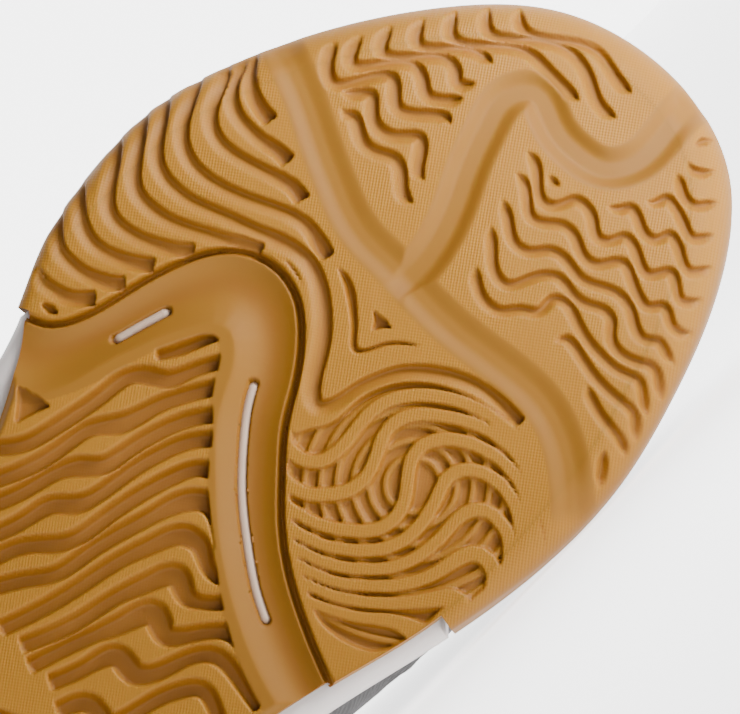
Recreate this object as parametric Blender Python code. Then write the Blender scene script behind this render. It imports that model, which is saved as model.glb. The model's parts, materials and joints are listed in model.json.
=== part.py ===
"""Indoor court shoe for the right foot, lying on its medial side with the sole turned to the front.

Every curved form is worked out in the shoe's own frame in millimetres: heel at 0, toe along +X,
medial side +Y, ground at 0. One empty then lays the whole shoe down in the row frame.
"""
import math

import bmesh
import bpy
import numpy as np
from mathutils import Matrix, Vector
from mathutils.geometry import delaunay_2d_cdt

# Sizes, all in millimetres
MM = 0.001
SOLE_LENGTH = 286.4
BALL_WIDTH = 114.4
INSTEP_HEIGHT = 96.0
TOE_SPRING = 12.0
HEEL_BEVEL = 4.0
ARCH_RISE = 2.5
RUBBER = 3.2
FIT = 0.4
SPLIT_HALF = 0.45
RIM_WIDTH = 1.1
EDGE_DROP = 1.2
CHANNEL_HALF = 3.6
CHANNEL_DEPTH = 1.5
COVE_DEPTH = 1.6
WINDOW_HALF = 1.05
UPPER_THICK = 2.4
OVERLAY_THICK = 1.2
TONGUE_THICK = 4.0
TONGUE_RISE = 2.6
INSOLE_THICK = 4.0
LACE_HALF = 3.2
LACE_THICK = 1.4
EYELET_ROWS = 6
TONGUE_TOP = 17.0

# The tables are drawn for a sole 286.4 long and 114.4 wide with the instep 96 high.
# These shares grade them to the sizes above, as a maker grades a pattern
LONG = SOLE_LENGTH / 286.4
WIDE = BALL_WIDTH / 114.4
HIGH = INSTEP_HEIGHT / 96.0
TOE_FLAT_END = 215.0 * LONG
HEEL_BEVEL_START = 28.0 * LONG
ARCH_START = 75.0 * LONG
ARCH_END = 165.0 * LONG
WALL_START = 177.5 * LONG
FOAM_FULL = 174.2 * LONG
FOAM_STEP = 176.9 * LONG
LACE_FRONT = 199.0 * LONG
LACE_BACK = 119.0 * LONG


def graded(rows, shares):
    """Table with each column times its share."""
    return tuple(tuple(value * share for value, share in zip(row, shares)) for row in rows)


# Sole wall seen from below: x, lateral y, medial y
OUTLINE = graded((
    (0.0, 0.0, 0.0),
    (5.0, -18.0, 18.0),
    (16.0, -30.5, 30.5),
    (38.0, -38.6, 38.4),
    (70.0, -39.0, 37.0),
    (100.0, -38.7, 34.2),
    (130.0, -42.0, 35.5),
    (155.0, -47.2, 42.0),
    (172.0, -50.4, 48.2),
    (186.0, -55.2, 52.6),
    (202.0, -57.4, 56.0),
    (219.0, -56.2, 57.0),
    (236.0, -49.6, 54.6),
    (252.0, -40.2, 50.4),
    (266.0, -29.4, 44.4),
    (276.0, -19.4, 37.2),
    (283.0, -8.4, 26.6),
    (286.4, 9.0, 9.0),
), (LONG, WIDE, WIDE))

# Sole heights: x, top of the midsole, top of the rubber wall, bottom corner radius
HEIGHTS = graded((
    (0.0, 27.5, 12.0, 3.0),
    (40.0, 24.5, 12.0, 3.0),
    (80.0, 23.4, 12.0, 3.0),
    (115.0, 22.2, 12.0, 3.0),
    (150.0, 19.6, 12.0, 3.0),
    (178.0, 16.8, 12.4, 3.0),
    (205.0, 14.8, 12.2, 6.4),
    (225.0, 14.4, 12.8, 7.2),
    (245.0, 16.2, 15.6, 7.2),
    (262.0, 19.0, 20.0, 7.2),
    (276.0, 22.2, 24.8, 7.2),
    (286.4, 24.6, 28.6, 7.2),
), (LONG, HIGH, HIGH, 1.0))

# Rear rubber edge, how far in from the sole wall: x, lateral, medial
REAR_INSET = graded((
    (0.0, 4.0, 4.0),
    (40.0, 4.6, 4.6),
    (100.0, 7.0, 6.0),
    (135.0, 7.6, 4.6),
    (157.0, 6.8, 3.8),
    (166.0, 4.4, 3.6),
    (172.0, 2.6, 3.4),
    (286.4, 2.6, 3.4),
), (LONG, 1.0, 1.0))

# Upper sections, heel to toe: place round the sole (0 heel, 1 toe), feather inset, opening x,
# opening half width, opening height, then how the side rises (lift, lateral and medial bulge)
# and how it turns in at the top (reach, drop)
SECTIONS = graded((
    (0.00, 3.4, 9.0, 0.0, 89.0, 20.0, 3.0, 3.0, 6.0, -17.0),
    (0.08, 3.6, 11.5, 11.5, 88.2, 20.0, 2.2, 2.2, 4.6, -17.0),
    (0.16, 4.4, 21.0, 21.5, 84.5, 20.0, 0.6, 0.6, 2.6, -17.0),
    (0.25, 5.0, 42.0, 27.0, 74.5, 18.0, -1.2, -1.2, 1.6, -16.0),
    (0.33, 5.2, 66.0, 28.5, 68.5, 17.0, -1.8, -1.6, 1.6, -16.0),
    (0.40, 4.8, 88.0, 28.5, 74.0, 19.0, -1.6, 1.4, 3.2, -18.0),
    (0.46, 4.0, 103.0, 27.0, 87.0, 24.0, 0.0, 6.0, 7.0, -20.0),
    (0.51, 4.2, 113.0, 24.5, 96.0, 25.0, 0.5, 8.0, 10.0, -18.0),
    (0.57, 4.2, 132.0, 21.5, 90.0, 22.0, 0.4, 5.4, 13.0, -12.0),
    (0.63, 4.4, 155.0, 19.0, 80.0, 19.0, 0.2, 1.6, 15.0, -8.5),
    (0.69, 4.4, 176.0, 16.5, 69.5, 18.0, 0.0, 0.2, 17.0, -5.0),
    (0.76, 4.4, 193.0, 13.0, 60.5, 18.0, 0.0, 0.0, 21.0, -2.0),
    (0.84, 4.4, 202.5, 8.6, 55.6, 19.0, 0.0, 0.0, 28.0, 0.0),
    (0.92, 4.4, 207.0, 4.4, 53.4, 20.0, 0.0, 0.0, 34.0, 1.0),
    (1.00, 4.4, 208.5, 0.0, 52.6, 21.0, 0.0, 0.0, 37.0, 1.5),
), (1.0, 1.0, LONG, WIDE, HIGH, HIGH, WIDE, WIDE, WIDE, HIGH))

# Line where the sole splits in two pieces, lateral wall to medial wall: x, y
SPLIT = graded((
    (175.6, -49.2), (174.9, -46.6), (176.4, -42.9), (181.0, -40.0), (190.0, -36.5),
    (200.0, -32.2), (207.0, -26.8), (210.2, -18.5), (208.2, -11.0), (200.0, -3.6),
    (189.0, 2.1), (178.0, 9.9), (168.0, 19.8), (162.6, 27.8), (157.6, 37.2), (156.9, 38.6),
), (LONG, WIDE))

# Soft cove behind the split: floor line and inner edge, x, y
COVE_FLOOR = graded((
    (168.0, -40.6), (173.0, -37.2), (180.5, -33.2), (186.0, -30.9), (192.0, -28.0),
    (199.0, -22.5), (201.5, -16.5), (198.0, -10.5), (191.5, -7.2), (183.0, -3.2),
    (174.0, 3.8), (166.0, 12.0), (158.4, 22.0), (153.0, 31.0),
), (LONG, WIDE))
COVE_EDGE = graded((
    (162.4, -38.0), (166.5, -34.9), (174.0, -31.2), (184.0, -27.0), (192.0, -22.4),
    (196.2, -17.0), (192.5, -12.4), (183.0, -8.2), (174.5, -2.2), (165.0, 6.6),
    (156.0, 18.0), (149.5, 29.5),
), (LONG, WIDE))

# Windows through the rear rubber, end to end along the cove: x, y
WINDOWS = (
    ("short window", graded(((181.0, -32.7), (186.0, -30.9), (191.4, -28.5)), (LONG, WIDE))),
    ("long window", graded(((158.4, 22.0), (166.0, 12.0), (174.0, 3.8), (183.0, -3.2),
                            (191.0, -7.3)), (LONG, WIDE))),
)

# Soft channels across the forefoot: x, y of the floor
CHANNELS = (
    ("waist channel", graded(((240.4, -37.6), (233.6, -26.0), (227.2, -13.4), (223.6, 0.0),
                              (222.0, 14.0), (222.4, 28.0), (220.4, 37.8), (217.0, 42.8)),
                             (LONG, WIDE))),
    ("toe channel", graded(((228.6, 4.8), (238.0, 2.8), (250.0, -1.8), (260.6, -2.8),
                            (263.6, 1.0), (261.6, 9.0), (262.2, 16.6), (266.4, 21.4),
                            (272.6, 22.2)), (LONG, WIDE))),
)

# Families of tread grooves: name, count, half width, depth, then the first, middle and last groove
GROOVES = (
    ("lateral waves", 4, 1.2, 1.5,
     ((190.6, -48.4), (187.9, -46.2), (188.5, -43.0), (190.2, -40.4)),
     ((199.6, -48.0), (196.4, -44.6), (197.2, -40.2), (199.2, -35.8)),
     ((208.8, -48.4), (205.4, -43.6), (206.2, -36.6), (208.6, -28.8))),
    ("long lateral waves", 4, 1.2, 1.5,
     ((214.4, -47.8), (210.9, -42.0), (212.4, -32.0), (215.2, -20.0)),
     ((223.0, -45.0), (219.4, -39.0), (221.2, -29.0), (221.4, -18.6)),
     ((229.8, -41.4), (228.0, -38.0), (228.0, -34.0), (227.4, -30.2))),
    ("ball waves", 2, 0.95, 1.3,
     ((215.2, -14.0), (212.6, -7.6), (206.4, -2.0), (198.8, 1.8)),
     ((216.2, -11.0), (213.8, -5.6), (208.6, -0.6), (203.0, 2.8)),
     ((217.0, -8.4), (215.0, -3.6), (211.0, 0.8), (207.4, 3.8))),
    ("toe steps", 6, 0.85, 1.3,
     ((243.4, -28.2), (246.4, -24.6), (243.2, -19.2), (245.8, -13.4), (241.0, -8.4)),
     ((254.2, -26.8), (257.0, -22.0), (254.2, -16.6), (257.2, -12.6), (257.6, -10.8)),
     ((266.0, -17.6), (269.6, -11.0), (271.6, -4.6), (270.8, 1.4), (269.6, 6.4))),
    ("medial zigzags", 5, 0.8, 1.4,
     ((233.2, 12.4), (229.9, 17.6), (234.4, 24.8), (233.6, 32.6), (231.8, 40.2), (231.4, 45.6)),
     ((245.6, 8.8), (241.8, 15.4), (245.0, 22.6), (244.4, 30.2), (244.6, 38.0), (242.6, 44.2)),
     ((255.4, 8.6), (251.4, 14.0), (255.2, 20.0), (253.0, 27.0), (253.8, 35.0), (253.6, 41.0))),
    ("medial toe zigzags", 3, 0.8, 1.4,
     ((258.6, 25.2), (258.2, 29.0), (259.2, 32.6), (257.8, 37.0)),
     ((263.6, 28.6), (263.8, 30.6), (262.8, 32.8), (262.4, 35.0)),
     ((268.4, 28.4), (267.8, 29.4), (267.2, 30.6), (267.0, 31.8))),
    ("pivot rim", 2, 0.8, 1.3,
     ((198.0, 6.2), (206.0, 9.2), (213.0, 16.2), (216.4, 26.0), (216.6, 35.6)),
     ((198.0, 6.2), (206.0, 9.2), (213.0, 16.2), (216.4, 26.0), (216.6, 35.6)),
     ((192.0, 8.8), (200.0, 10.6), (207.8, 14.8), (212.6, 23.0), (213.6, 34.0))),
    ("pivot arcs", 4, 0.8, 1.3,
     ((184.0, 12.4), (194.0, 14.4), (203.8, 15.8), (210.0, 24.0), (211.0, 36.0)),
     ((182.0, 21.0), (192.0, 22.0), (200.4, 21.4), (206.4, 28.6), (207.0, 40.0)),
     ((180.0, 31.4), (190.0, 35.0), (198.4, 34.8), (202.4, 39.6), (198.8, 47.4))),
    ("pivot sweep", 3, 0.8, 1.3,
     ((172.6, 25.8), (177.0, 32.4), (184.0, 37.6), (192.6, 41.0)),
     ((169.8, 27.6), (174.2, 34.6), (180.0, 39.8), (187.8, 44.2)),
     ((166.4, 30.4), (170.0, 37.4), (174.6, 41.8), (180.2, 45.2))),
    ("rear waves", 10, 1.2, 1.6,
     ((154.5, -34.0), (163.0, -29.8), (172.5, -27.0), (178.5, -22.6), (188.0, -15.4)),
     ((134.0, -19.4), (144.0, -11.8), (156.0, -7.6), (164.4, -2.2), (161.4, 5.6)),
     ((116.0, -3.0), (127.0, 2.0), (133.0, 8.0), (140.0, 16.0), (141.6, 26.0))),
    ("waist waves", 4, 1.2, 1.6,
     ((118.0, -20.0), (108.0, -9.0), (116.0, 5.0), (124.0, 23.0)),
     ((107.0, -23.0), (99.0, -9.0), (104.0, 5.0), (108.0, 22.0)),
     ((93.0, -25.0), (88.0, -9.0), (92.0, 5.0), (91.0, 22.0))),
    ("heel waves", 2, 1.2, 1.6,
     ((83.0, -25.0), (79.0, -9.0), (84.0, 5.0), (80.0, 23.0)),
     ((78.0, -25.5), (74.0, -9.0), (79.0, 5.0), (75.0, 23.5)),
     ((73.0, -26.0), (69.0, -9.0), (74.0, 5.0), (70.0, 24.0))),
    ("heel tip waves", 2, 1.2, 1.6,
     ((26.0, -22.0), (22.0, -9.0), (27.0, 5.0), (23.0, 21.0)),
     ((22.0, -19.5), (18.0, -9.0), (22.0, 5.0), (18.6, 18.0)),
     ((17.0, -16.0), (13.4, -7.0), (16.6, 5.0), (14.0, 14.0))),
)


# Places along the sole and levels up the side where the upper has its sections
UPPER_PLACES = np.linspace(0.0, 1.0, 28)
UPPER_LEVELS = np.array([0.0, 0.1, 0.23, 0.36, 0.5, 0.64, 0.78, 0.9, 1.0])


# Smooth curves through table rows
def spline(xs, ys, at):
    """Value at each point of a natural cubic through the rows."""
    xs, ys, at = (np.asarray(v, float) for v in (xs, ys, at))
    count = len(xs)
    gap = np.diff(xs)
    system = np.eye(count)
    right = np.zeros(count)
    for i in range(1, count - 1):
        system[i, i - 1:i + 2] = gap[i - 1], 2.0 * (gap[i - 1] + gap[i]), gap[i]
        right[i] = 6.0 * ((ys[i + 1] - ys[i]) / gap[i] - (ys[i] - ys[i - 1]) / gap[i - 1])
    bend = np.linalg.solve(system, right)
    k = np.clip(np.searchsorted(xs, at) - 1, 0, count - 2)
    ahead = at - xs[k]
    behind = xs[k + 1] - at
    cubic = (bend[k] * behind ** 3 + bend[k + 1] * ahead ** 3) / (6.0 * gap[k])
    start = (ys[k] / gap[k] - bend[k] * gap[k] / 6.0) * behind
    end = (ys[k + 1] / gap[k] - bend[k + 1] * gap[k] / 6.0) * ahead
    return cubic + start + end


def column(table, index, x):
    """One column of a table at x."""
    return spline([row[0] for row in table], [row[index] for row in table], x)


def place_of(x):
    """Place along the sole, 0 at the heel and 1 at the toe, of a plain x."""
    return np.arccos(np.clip(1.0 - 2.0 * np.asarray(x, float) / SOLE_LENGTH, -1.0, 1.0)) / math.pi


def around(places, lateral, medial, w):
    """Closed curve value: w runs 0 to 1 up the lateral side and 1 to 2 back down the medial side."""
    ws = list(places) + [2.0 - p for p in places[-2:0:-1]]
    ys = list(lateral) + [m for m in medial[-2:0:-1]]
    pad = 4
    long_w = [v - 2.0 for v in ws[-pad:]] + ws + [v + 2.0 for v in ws[:pad + 1]]
    long_y = ys[-pad:] + ys + ys[:pad + 1]
    return spline(long_w, long_y, np.mod(w, 2.0))


# Sole surfaces
def outline(w, inset=0.0):
    """Point of the sole wall at w, moved in by the inset; returns x, y and the outward normal."""
    w = np.asarray(w, float)
    places = [float(place_of(row[0])) for row in OUTLINE]
    lateral = [row[1] for row in OUTLINE]
    medial = [row[2] for row in OUTLINE]

    def at(v):
        x = 0.5 * SOLE_LENGTH * (1.0 - np.cos(math.pi * v))
        return np.stack([x, around(places, lateral, medial, v)], -1)

    step = 0.004
    run = at(w + step) - at(w - step)
    run /= np.linalg.norm(run, axis=-1, keepdims=True)
    normal = np.stack([run[..., 1], -run[..., 0]], -1)
    return at(w) - normal * np.asarray(inset)[..., None], normal


def ground(x):
    """Height of the tread above the ground: toe spring, heel bevel and a low arch."""
    x = np.asarray(x, float)
    toe = np.clip((x - TOE_FLAT_END) / (SOLE_LENGTH - TOE_FLAT_END), 0.0, None)
    heel = np.clip((HEEL_BEVEL_START - x) / HEEL_BEVEL_START, 0.0, None)
    arch = np.clip((x - ARCH_START) / (ARCH_END - ARCH_START), 0.0, 1.0)
    return TOE_SPRING * toe ** 2 + HEEL_BEVEL * heel ** 2 + ARCH_RISE * np.sin(math.pi * arch) ** 2


def sole_top(x):
    """Height of the top of the midsole."""
    return column(HEIGHTS, 1, x)


def stations(count, low=0.0, high=1.0, extra=()):
    """Places along one side, with the named x positions added."""
    places = list(np.linspace(low, high, count))
    for x in extra:
        places.append(float(place_of(x)))
    return np.array(sorted(places))


def ring(places):
    """Places of both sides joined in one closed run of w."""
    return np.concatenate([places, 2.0 - places[-2:0:-1]])


# Upper surface
def upper_skin(w, v):
    """Outer face of the upper: v 0 at the sole, 1 at the collar and throat."""
    w, v = np.broadcast_arrays(np.asarray(w, float), np.asarray(v, float))
    places = [row[0] for row in SECTIONS]

    def even(index):
        values = [row[index] for row in SECTIONS]
        return around(places, values, values, w)

    half = [row[3] for row in SECTIONS]
    bulge = around(places, [row[6] for row in SECTIONS], [row[7] for row in SECTIONS], w)
    foot, normal = outline(w, even(1))
    start = np.concatenate([foot, (sole_top(foot[..., 0]) + FIT)[..., None]], -1)
    end_x = even(2)
    lean = 4.0 * WIDE * np.clip((end_x / LONG - 90.0) / 118.0, 0.0, 1.0)
    end_y = around(places, [-h for h in half], half, w) + lean
    end = np.stack([end_x, end_y, even(4)], -1)
    rise = start + np.concatenate([normal * bulge[..., None], even(5)[..., None]], -1)
    out = start[..., :2] - end[..., :2]
    out /= np.maximum(np.linalg.norm(out, axis=-1, keepdims=True), 1e-6)
    turn = end + np.concatenate([out * even(8)[..., None], even(9)[..., None]], -1)
    v = v[..., None]
    return ((1 - v) ** 3 * start + 3 * v * (1 - v) ** 2 * rise
            + 3 * v ** 2 * (1 - v) * turn + v ** 3 * end)


def upper_off(w, v, distance):
    """Face of the upper moved off along its own normal, outwards when positive."""
    step = 0.003
    low, high = np.clip(v - step, 0.0, 1.0), np.clip(v + step, 0.0, 1.0)
    along = upper_skin(w + step, v) - upper_skin(w - step, v)
    up = upper_skin(w, high) - upper_skin(w, low)
    normal = np.cross(along, up)
    normal /= np.linalg.norm(normal, axis=-1, keepdims=True)
    return upper_skin(w, v) + normal * np.asarray(distance, float)[..., None]


# Mesh helpers
def material(name, colour, roughness):
    """One plain material."""
    made = bpy.data.materials.new(name)
    made.use_nodes = True
    shader = made.node_tree.nodes["Principled BSDF"]
    shader.inputs["Base Color"].default_value = (*colour, 1.0)
    shader.inputs["Roughness"].default_value = roughness
    return made


def solid(name, points, faces, look, parent, crease=40.0):
    """Closed body from points in millimetres."""
    mesh = bpy.data.meshes.new(name)
    mesh.from_pydata([tuple(float(c) * MM for c in p) for p in points], [], faces)
    work = bmesh.new()
    work.from_mesh(mesh)
    bmesh.ops.recalc_face_normals(work, faces=work.faces)
    work.to_mesh(mesh)
    work.free()
    mesh.materials.append(look)
    mesh.shade_smooth()
    mesh.set_sharp_from_angle(angle=math.radians(crease))
    made = bpy.data.objects.new(name, mesh)
    bpy.context.collection.objects.link(made)
    made.parent = parent
    return made


def smooth_line(points, spacing, least=3):
    """Points evenly along a smooth line through the given ones."""
    points = np.asarray(points, float)
    reach = np.concatenate([[0.0], np.cumsum(np.linalg.norm(np.diff(points, axis=0), axis=1))])
    count = max(least, int(round(reach[-1] / spacing)) + 1)
    at = np.linspace(0.0, reach[-1], count)
    return np.stack([spline(reach, points[:, 0], at), spline(reach, points[:, 1], at)], -1)


def beside(line, distance):
    """Line moved to its left by a distance."""
    run = np.gradient(line, axis=0)
    run /= np.linalg.norm(run, axis=1, keepdims=True)
    return line + np.stack([-run[:, 1], run[:, 0]], -1) * distance


def inside(points, loop):
    """Whether each point lies inside a closed loop."""
    points, loop = np.asarray(points, float), np.asarray(loop, float)
    after = np.roll(loop, -1, axis=0)
    hit = np.zeros(len(points), bool)
    for a, b in zip(loop, after):
        crosses = (a[1] > points[:, 1]) != (b[1] > points[:, 1])
        rise = b[1] - a[1]
        if rise == 0.0:
            continue
        hit ^= crosses & (points[:, 0] < a[0] + (points[:, 1] - a[1]) * (b[0] - a[0]) / rise)
    return hit


class Sheet:
    """Points laid flat, each with its place in space, tied by lines that the faces keep."""

    def __init__(self):
        self.flat = []
        self.place = []
        self.ties = []

    def add(self, flat, places, closed=False):
        """Add a run of points and tie each to the next."""
        first = len(self.flat)
        self.flat += [tuple(float(c) for c in p) for p in flat]
        self.place += [tuple(float(c) for c in p) for p in places]
        run = list(range(first, len(self.flat)))
        self.ties += list(zip(run, run[1:]))
        if closed:
            self.ties.append((run[-1], run[0]))
        return run

    def faces(self, border, holes=()):
        """Triangles inside the border and outside the holes."""
        points = [Vector(p) for p in self.flat]
        result = delaunay_2d_cdt(points, self.ties, [], 0, 1e-6)
        made, _, triangles, sources = result[:4]
        names = []
        for point, source in zip(made, sources):
            if not source:
                raise ValueError(f"two lines cross near {point.x:.2f}, {point.y:.2f}")
            names.append(source[0])
        middle = np.array([[sum(made[i].x for i in t) / 3, sum(made[i].y for i in t) / 3]
                           for t in triangles])
        keep = inside(middle, border)
        for hole in holes:
            keep &= ~inside(middle, hole)
        return [tuple(names[i] for i in t) for t, k in zip(triangles, keep) if k]


def skin_solid(name, outer, inner, loops, holes, look, parent):
    """Body between two sheets that share their first runs of border points."""
    border = [outer.flat[i] for i in loops[0]]
    hole_points = [[outer.flat[i] for i in loop] for loop in holes]
    shift = len(outer.flat)
    faces = outer.faces(border, hole_points)
    faces += [tuple(shift + i for i in reversed(t)) for t in inner.faces(border, hole_points)]
    for loop in list(loops) + list(holes):
        for a, b in zip(loop, loop[1:] + loop[:1]):
            faces += [(a, b, shift + b), (a, shift + b, shift + a)]
    return solid(name, outer.place + inner.place, faces, look, parent, 32.0)


def tread(flat, depth):
    """Places on the bottom of the sole at a depth into the rubber."""
    flat = np.asarray(flat, float)
    deep = np.broadcast_to(np.asarray(depth, float), (len(flat),))
    return np.column_stack([flat, ground(flat[:, 0]) + deep])


def family(rows, count):
    """Grooves spread evenly from the first row through the middle one to the last."""
    rows = np.asarray(rows, float) * np.array([LONG, WIDE])
    for share in np.linspace(0.0, 2.0, count):
        near = rows[0] * (1 - share) * (2 - share) / 2
        yield near + rows[1] * share * (2 - share) + rows[2] * share * (share - 1) / 2


def cut_groove(sheet, points, half, depth, spacing=4.6):
    """Groove with sloping sides, running out to the surface at both ends."""
    line = smooth_line(points, spacing, 4)
    middle = line[1:-1]
    run = np.gradient(line, axis=0)[1:-1]
    run /= np.linalg.norm(run, axis=1, keepdims=True)
    off = np.stack([-run[:, 1], run[:, 0]], -1) * half
    near = np.vstack([line[:1], middle - off, line[-1:]])
    edge = sheet.add(near, tread(near, 0.0))
    far = middle + off
    back = sheet.add(far, tread(far, 0.0))
    sheet.ties += [(edge[0], back[0]), (back[-1], edge[-1])]
    sheet.add(middle, tread(middle, depth))


def cut_fields(sheet, names):
    """Every groove of the named families."""
    for name, count, half, depth, *rows in GROOVES:
        if name in names:
            for points in family(rows, count):
                cut_groove(sheet, points, half, depth)


# Sole pieces
def forefoot_rings(places, depth):
    """Rings from the bottom edge up the rubber wall: flat position and place in space."""
    radius = column(HEIGHTS, 3, outline(places)[0][:, 0])
    bend = np.maximum(radius - depth, 0.5)
    centre = depth + bend if depth > 0 else radius
    flats, spaces = [], []
    edge, normal = outline(places, radius)
    for turn in (0.0, 0.25, 0.5):
        angle = math.pi * turn
        flat = edge + normal * (radius * angle)[:, None]
        inset = centre - bend * math.sin(angle)
        rise = centre - bend * math.cos(angle)
        plan, _ = outline(places, inset)
        spaces.append(np.column_stack([plan, ground(plan[:, 0]) + rise]))
        flats.append(flat)
    wall_top = column(HEIGHTS, 2, outline(places)[0][:, 0])
    low = ground(outline(places)[0][:, 0]) + radius
    flats.append(edge + normal * (radius * math.pi / 2 + wall_top - low)[:, None])
    plan, _ = outline(places, depth + 0.3 * (0.0 if depth > 0 else 1.0))
    spaces.append(np.column_stack([plan, wall_top]))
    return flats, spaces


def split_line(side, extra=0.0):
    """Edge of one piece along the split: +1 toe side, -1 heel side."""
    line = smooth_line(SPLIT, 5.4)
    return beside(line, -side * (SPLIT_HALF + extra))


def build_forefoot(look, parent):
    """Forefoot rubber: tread, rounded edge and wall, one shell open to the midsole."""
    low = float(place_of(WALL_START))
    run = np.concatenate([np.linspace(low, 1.0, 19)[:-1], np.linspace(1.0, 2.0 - low, 19)])
    outer, inner = Sheet(), Sheet()
    loops = []
    heel_w = 2.0 - np.array([float(place_of(x * LONG)) for x in (173.0, 168.0, 163.0)])
    heel_edge = outline(heel_w, 3.0)[0]
    break_line = split_line(1)[::-1][1:-1]
    for sheet, depth in ((outer, 0.0), (inner, RUBBER)):
        flats, spaces = forefoot_rings(run, depth)
        chamfer = EDGE_DROP if depth == 0.0 else depth
        border_flat = np.vstack([flats[3], flats[2][-1:], flats[1][-1:], flats[0][-1:], heel_edge,
                                 break_line, flats[0][:1], flats[1][:1], flats[2][:1]])
        plates = np.vstack([heel_edge, break_line])
        border_space = np.vstack([spaces[3], spaces[2][-1:], spaces[1][-1:], spaces[0][-1:],
                                  tread(plates, chamfer), spaces[0][:1], spaces[1][:1],
                                  spaces[2][:1]])
        border = sheet.add(border_flat, border_space, closed=True)
        ends = {2: (border[len(run)], border[-1]), 1: (border[len(run) + 1], border[-2]),
                0: (border[len(run) + 2], border[-3])}
        for level in (2, 1, 0):
            row = sheet.add(flats[level][1:-1], spaces[level][1:-1])
            sheet.ties += [(ends[level][1], row[0]), (row[-1], ends[level][0])]
        loops.append(border)
    rim = split_line(1, RIM_WIDTH)[1:-2]
    outer.add(rim, tread(rim, 0.0))
    for name, points in CHANNELS:
        line = smooth_line(points, 7.0)
        outer.add(line, tread(line, CHANNEL_DEPTH))
        for side in (1, -1):
            bank = beside(line, side * CHANNEL_HALF)
            if name == "waist channel" and side == 1:
                outer.add(bank[:5], tread(bank[:5], 0.0))
                outer.add(bank[-6:], tread(bank[-6:], 0.0))
            else:
                outer.add(bank, tread(bank, 0.0))
    cut_fields(outer, ("lateral waves", "long lateral waves", "ball waves", "toe steps",
                       "medial zigzags", "medial toe zigzags", "pivot rim", "pivot arcs",
                       "pivot sweep"))
    for x in (185.0, 200.0, 215.0, 230.0, 245.0, 258.0):
        ys = np.linspace(-19.0, 34.0, 4)
        ys = ys[(x > 210.0) | (ys > 12.0)]
        row = np.column_stack([np.full(len(ys), x * LONG), ys * WIDE])
        inner.add(row, tread(row, RUBBER))
    return skin_solid("outsole_forefoot", outer, inner, loops[:1], (), look, parent)


def capsule(line, half):
    """Closed loop round a line with rounded ends."""
    left, right = beside(line, half), beside(line, -half)
    start = line[0] - (line[1] - line[0]) / np.linalg.norm(line[1] - line[0]) * half * 0.8
    end = line[-1] + (line[-1] - line[-2]) / np.linalg.norm(line[-1] - line[-2]) * half * 0.8
    return np.vstack([start[None], right, end[None], left[::-1]])


def rear_edge(extra):
    """Rear rubber edge from the split round the heel and back to it."""
    lateral = np.linspace(float(place_of(171.6 * LONG)), 0.0, 18)
    medial = 2.0 - np.linspace(0.0, float(place_of(155.4 * LONG)), 17)[1:]
    w = np.concatenate([lateral, medial])
    x = outline(w)[0][:, 0]
    side = np.where(w < 1.0, column(REAR_INSET, 1, x), column(REAR_INSET, 2, x))
    return outline(w, side + extra)[0]


def build_rear(look, parent):
    """Rear rubber: cove and windows behind the split, waves under waist and heel."""
    outer, inner = Sheet(), Sheet()
    edge = rear_edge(0.0)
    break_line = split_line(-1)[::-1][1:-1]
    border_flat = np.vstack([edge, break_line])
    loop = []
    holes = []
    for sheet, chamfer in ((outer, EDGE_DROP), (inner, RUBBER)):
        loop = sheet.add(border_flat, tread(border_flat, chamfer), closed=True)
        holes = []
        for _, points in WINDOWS:
            rim = capsule(smooth_line(points, 5.0), WINDOW_HALF)
            depth = COVE_DEPTH if sheet is outer else RUBBER
            holes.append(sheet.add(rim, tread(rim, depth), closed=True))
    ledge = np.vstack([rear_edge(1.8)[1:-1], split_line(-1, 1.4)[::-1][2:-3]])
    outer.add(ledge, tread(ledge, 0.0), closed=True)
    floor = smooth_line(COVE_FLOOR, 5.0)
    shut = [inside(floor, capsule(smooth_line(points, 5.0), WINDOW_HALF + 1.2))
            for _, points in WINDOWS]
    clear = ~(shut[0] | shut[1])
    for i in np.flatnonzero(clear):
        outer.add(floor[i:i + 1], tread(floor[i:i + 1], COVE_DEPTH))
    inner_edge = smooth_line(COVE_EDGE, 6.0)
    outer.add(inner_edge, tread(inner_edge, 0.0))
    cut_fields(outer, ("rear waves", "waist waves", "heel waves", "heel tip waves"))
    for x in (14.0, 28.0, 42.0, 56.0, 70.0, 82.0, 94.0, 106.0, 118.0, 130.0, 142.0, 154.0, 166.0):
        row = np.array([[x, -26.0], [x, -13.0], [x, 0.0], [x, 13.0]])
        row = row[np.abs(row[:, 1]) < 14.0 + 12.0 * (x > 120.0)]
        row = row[row[:, 1] < 10.0 + 8.0 * (x < 154.0)] * np.array([LONG, WIDE])
        inner.add(row, tread(row, RUBBER))
    pad = np.array([[36.0, -14.0], [36.0, 14.0], [60.0, 14.0], [60.0, -14.0]])
    pad = pad * np.array([LONG, WIDE])
    outer.add(pad, tread(pad, 0.0), closed=True)
    return skin_solid("outsole_rear", outer, inner, [loop], holes, look, parent)


def ladder(count):
    """Faces across a closed ring whose two sides have matching places."""
    faces = []
    last = count - 1
    half = count // 2
    for i in range(half):
        left, right = i, (count - i) % count
        left_next, right_next = i + 1, last - i
        if i == 0:
            faces.append((0, 1, last))
        elif left_next == right_next:
            faces.append((left, left_next, right))
        else:
            faces.append((left, left_next, right_next, right))
    return faces


def ring_solid(name, rings, look, parent):
    """Body from closed rings stacked bottom to top, capped across the first and last."""
    count = len(rings[0])
    points = np.vstack(rings)
    faces = []
    for level in range(len(rings) - 1):
        for i in range(count):
            a, b = level * count + i, level * count + (i + 1) % count
            faces.append((a, b, b + count, a + count))
    top = (len(rings) - 1) * count
    faces += [tuple(reversed(f)) for f in ladder(count)]
    faces += [tuple(top + i for i in f) for f in ladder(count)]
    return solid(name, points, faces, look, parent)


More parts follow.
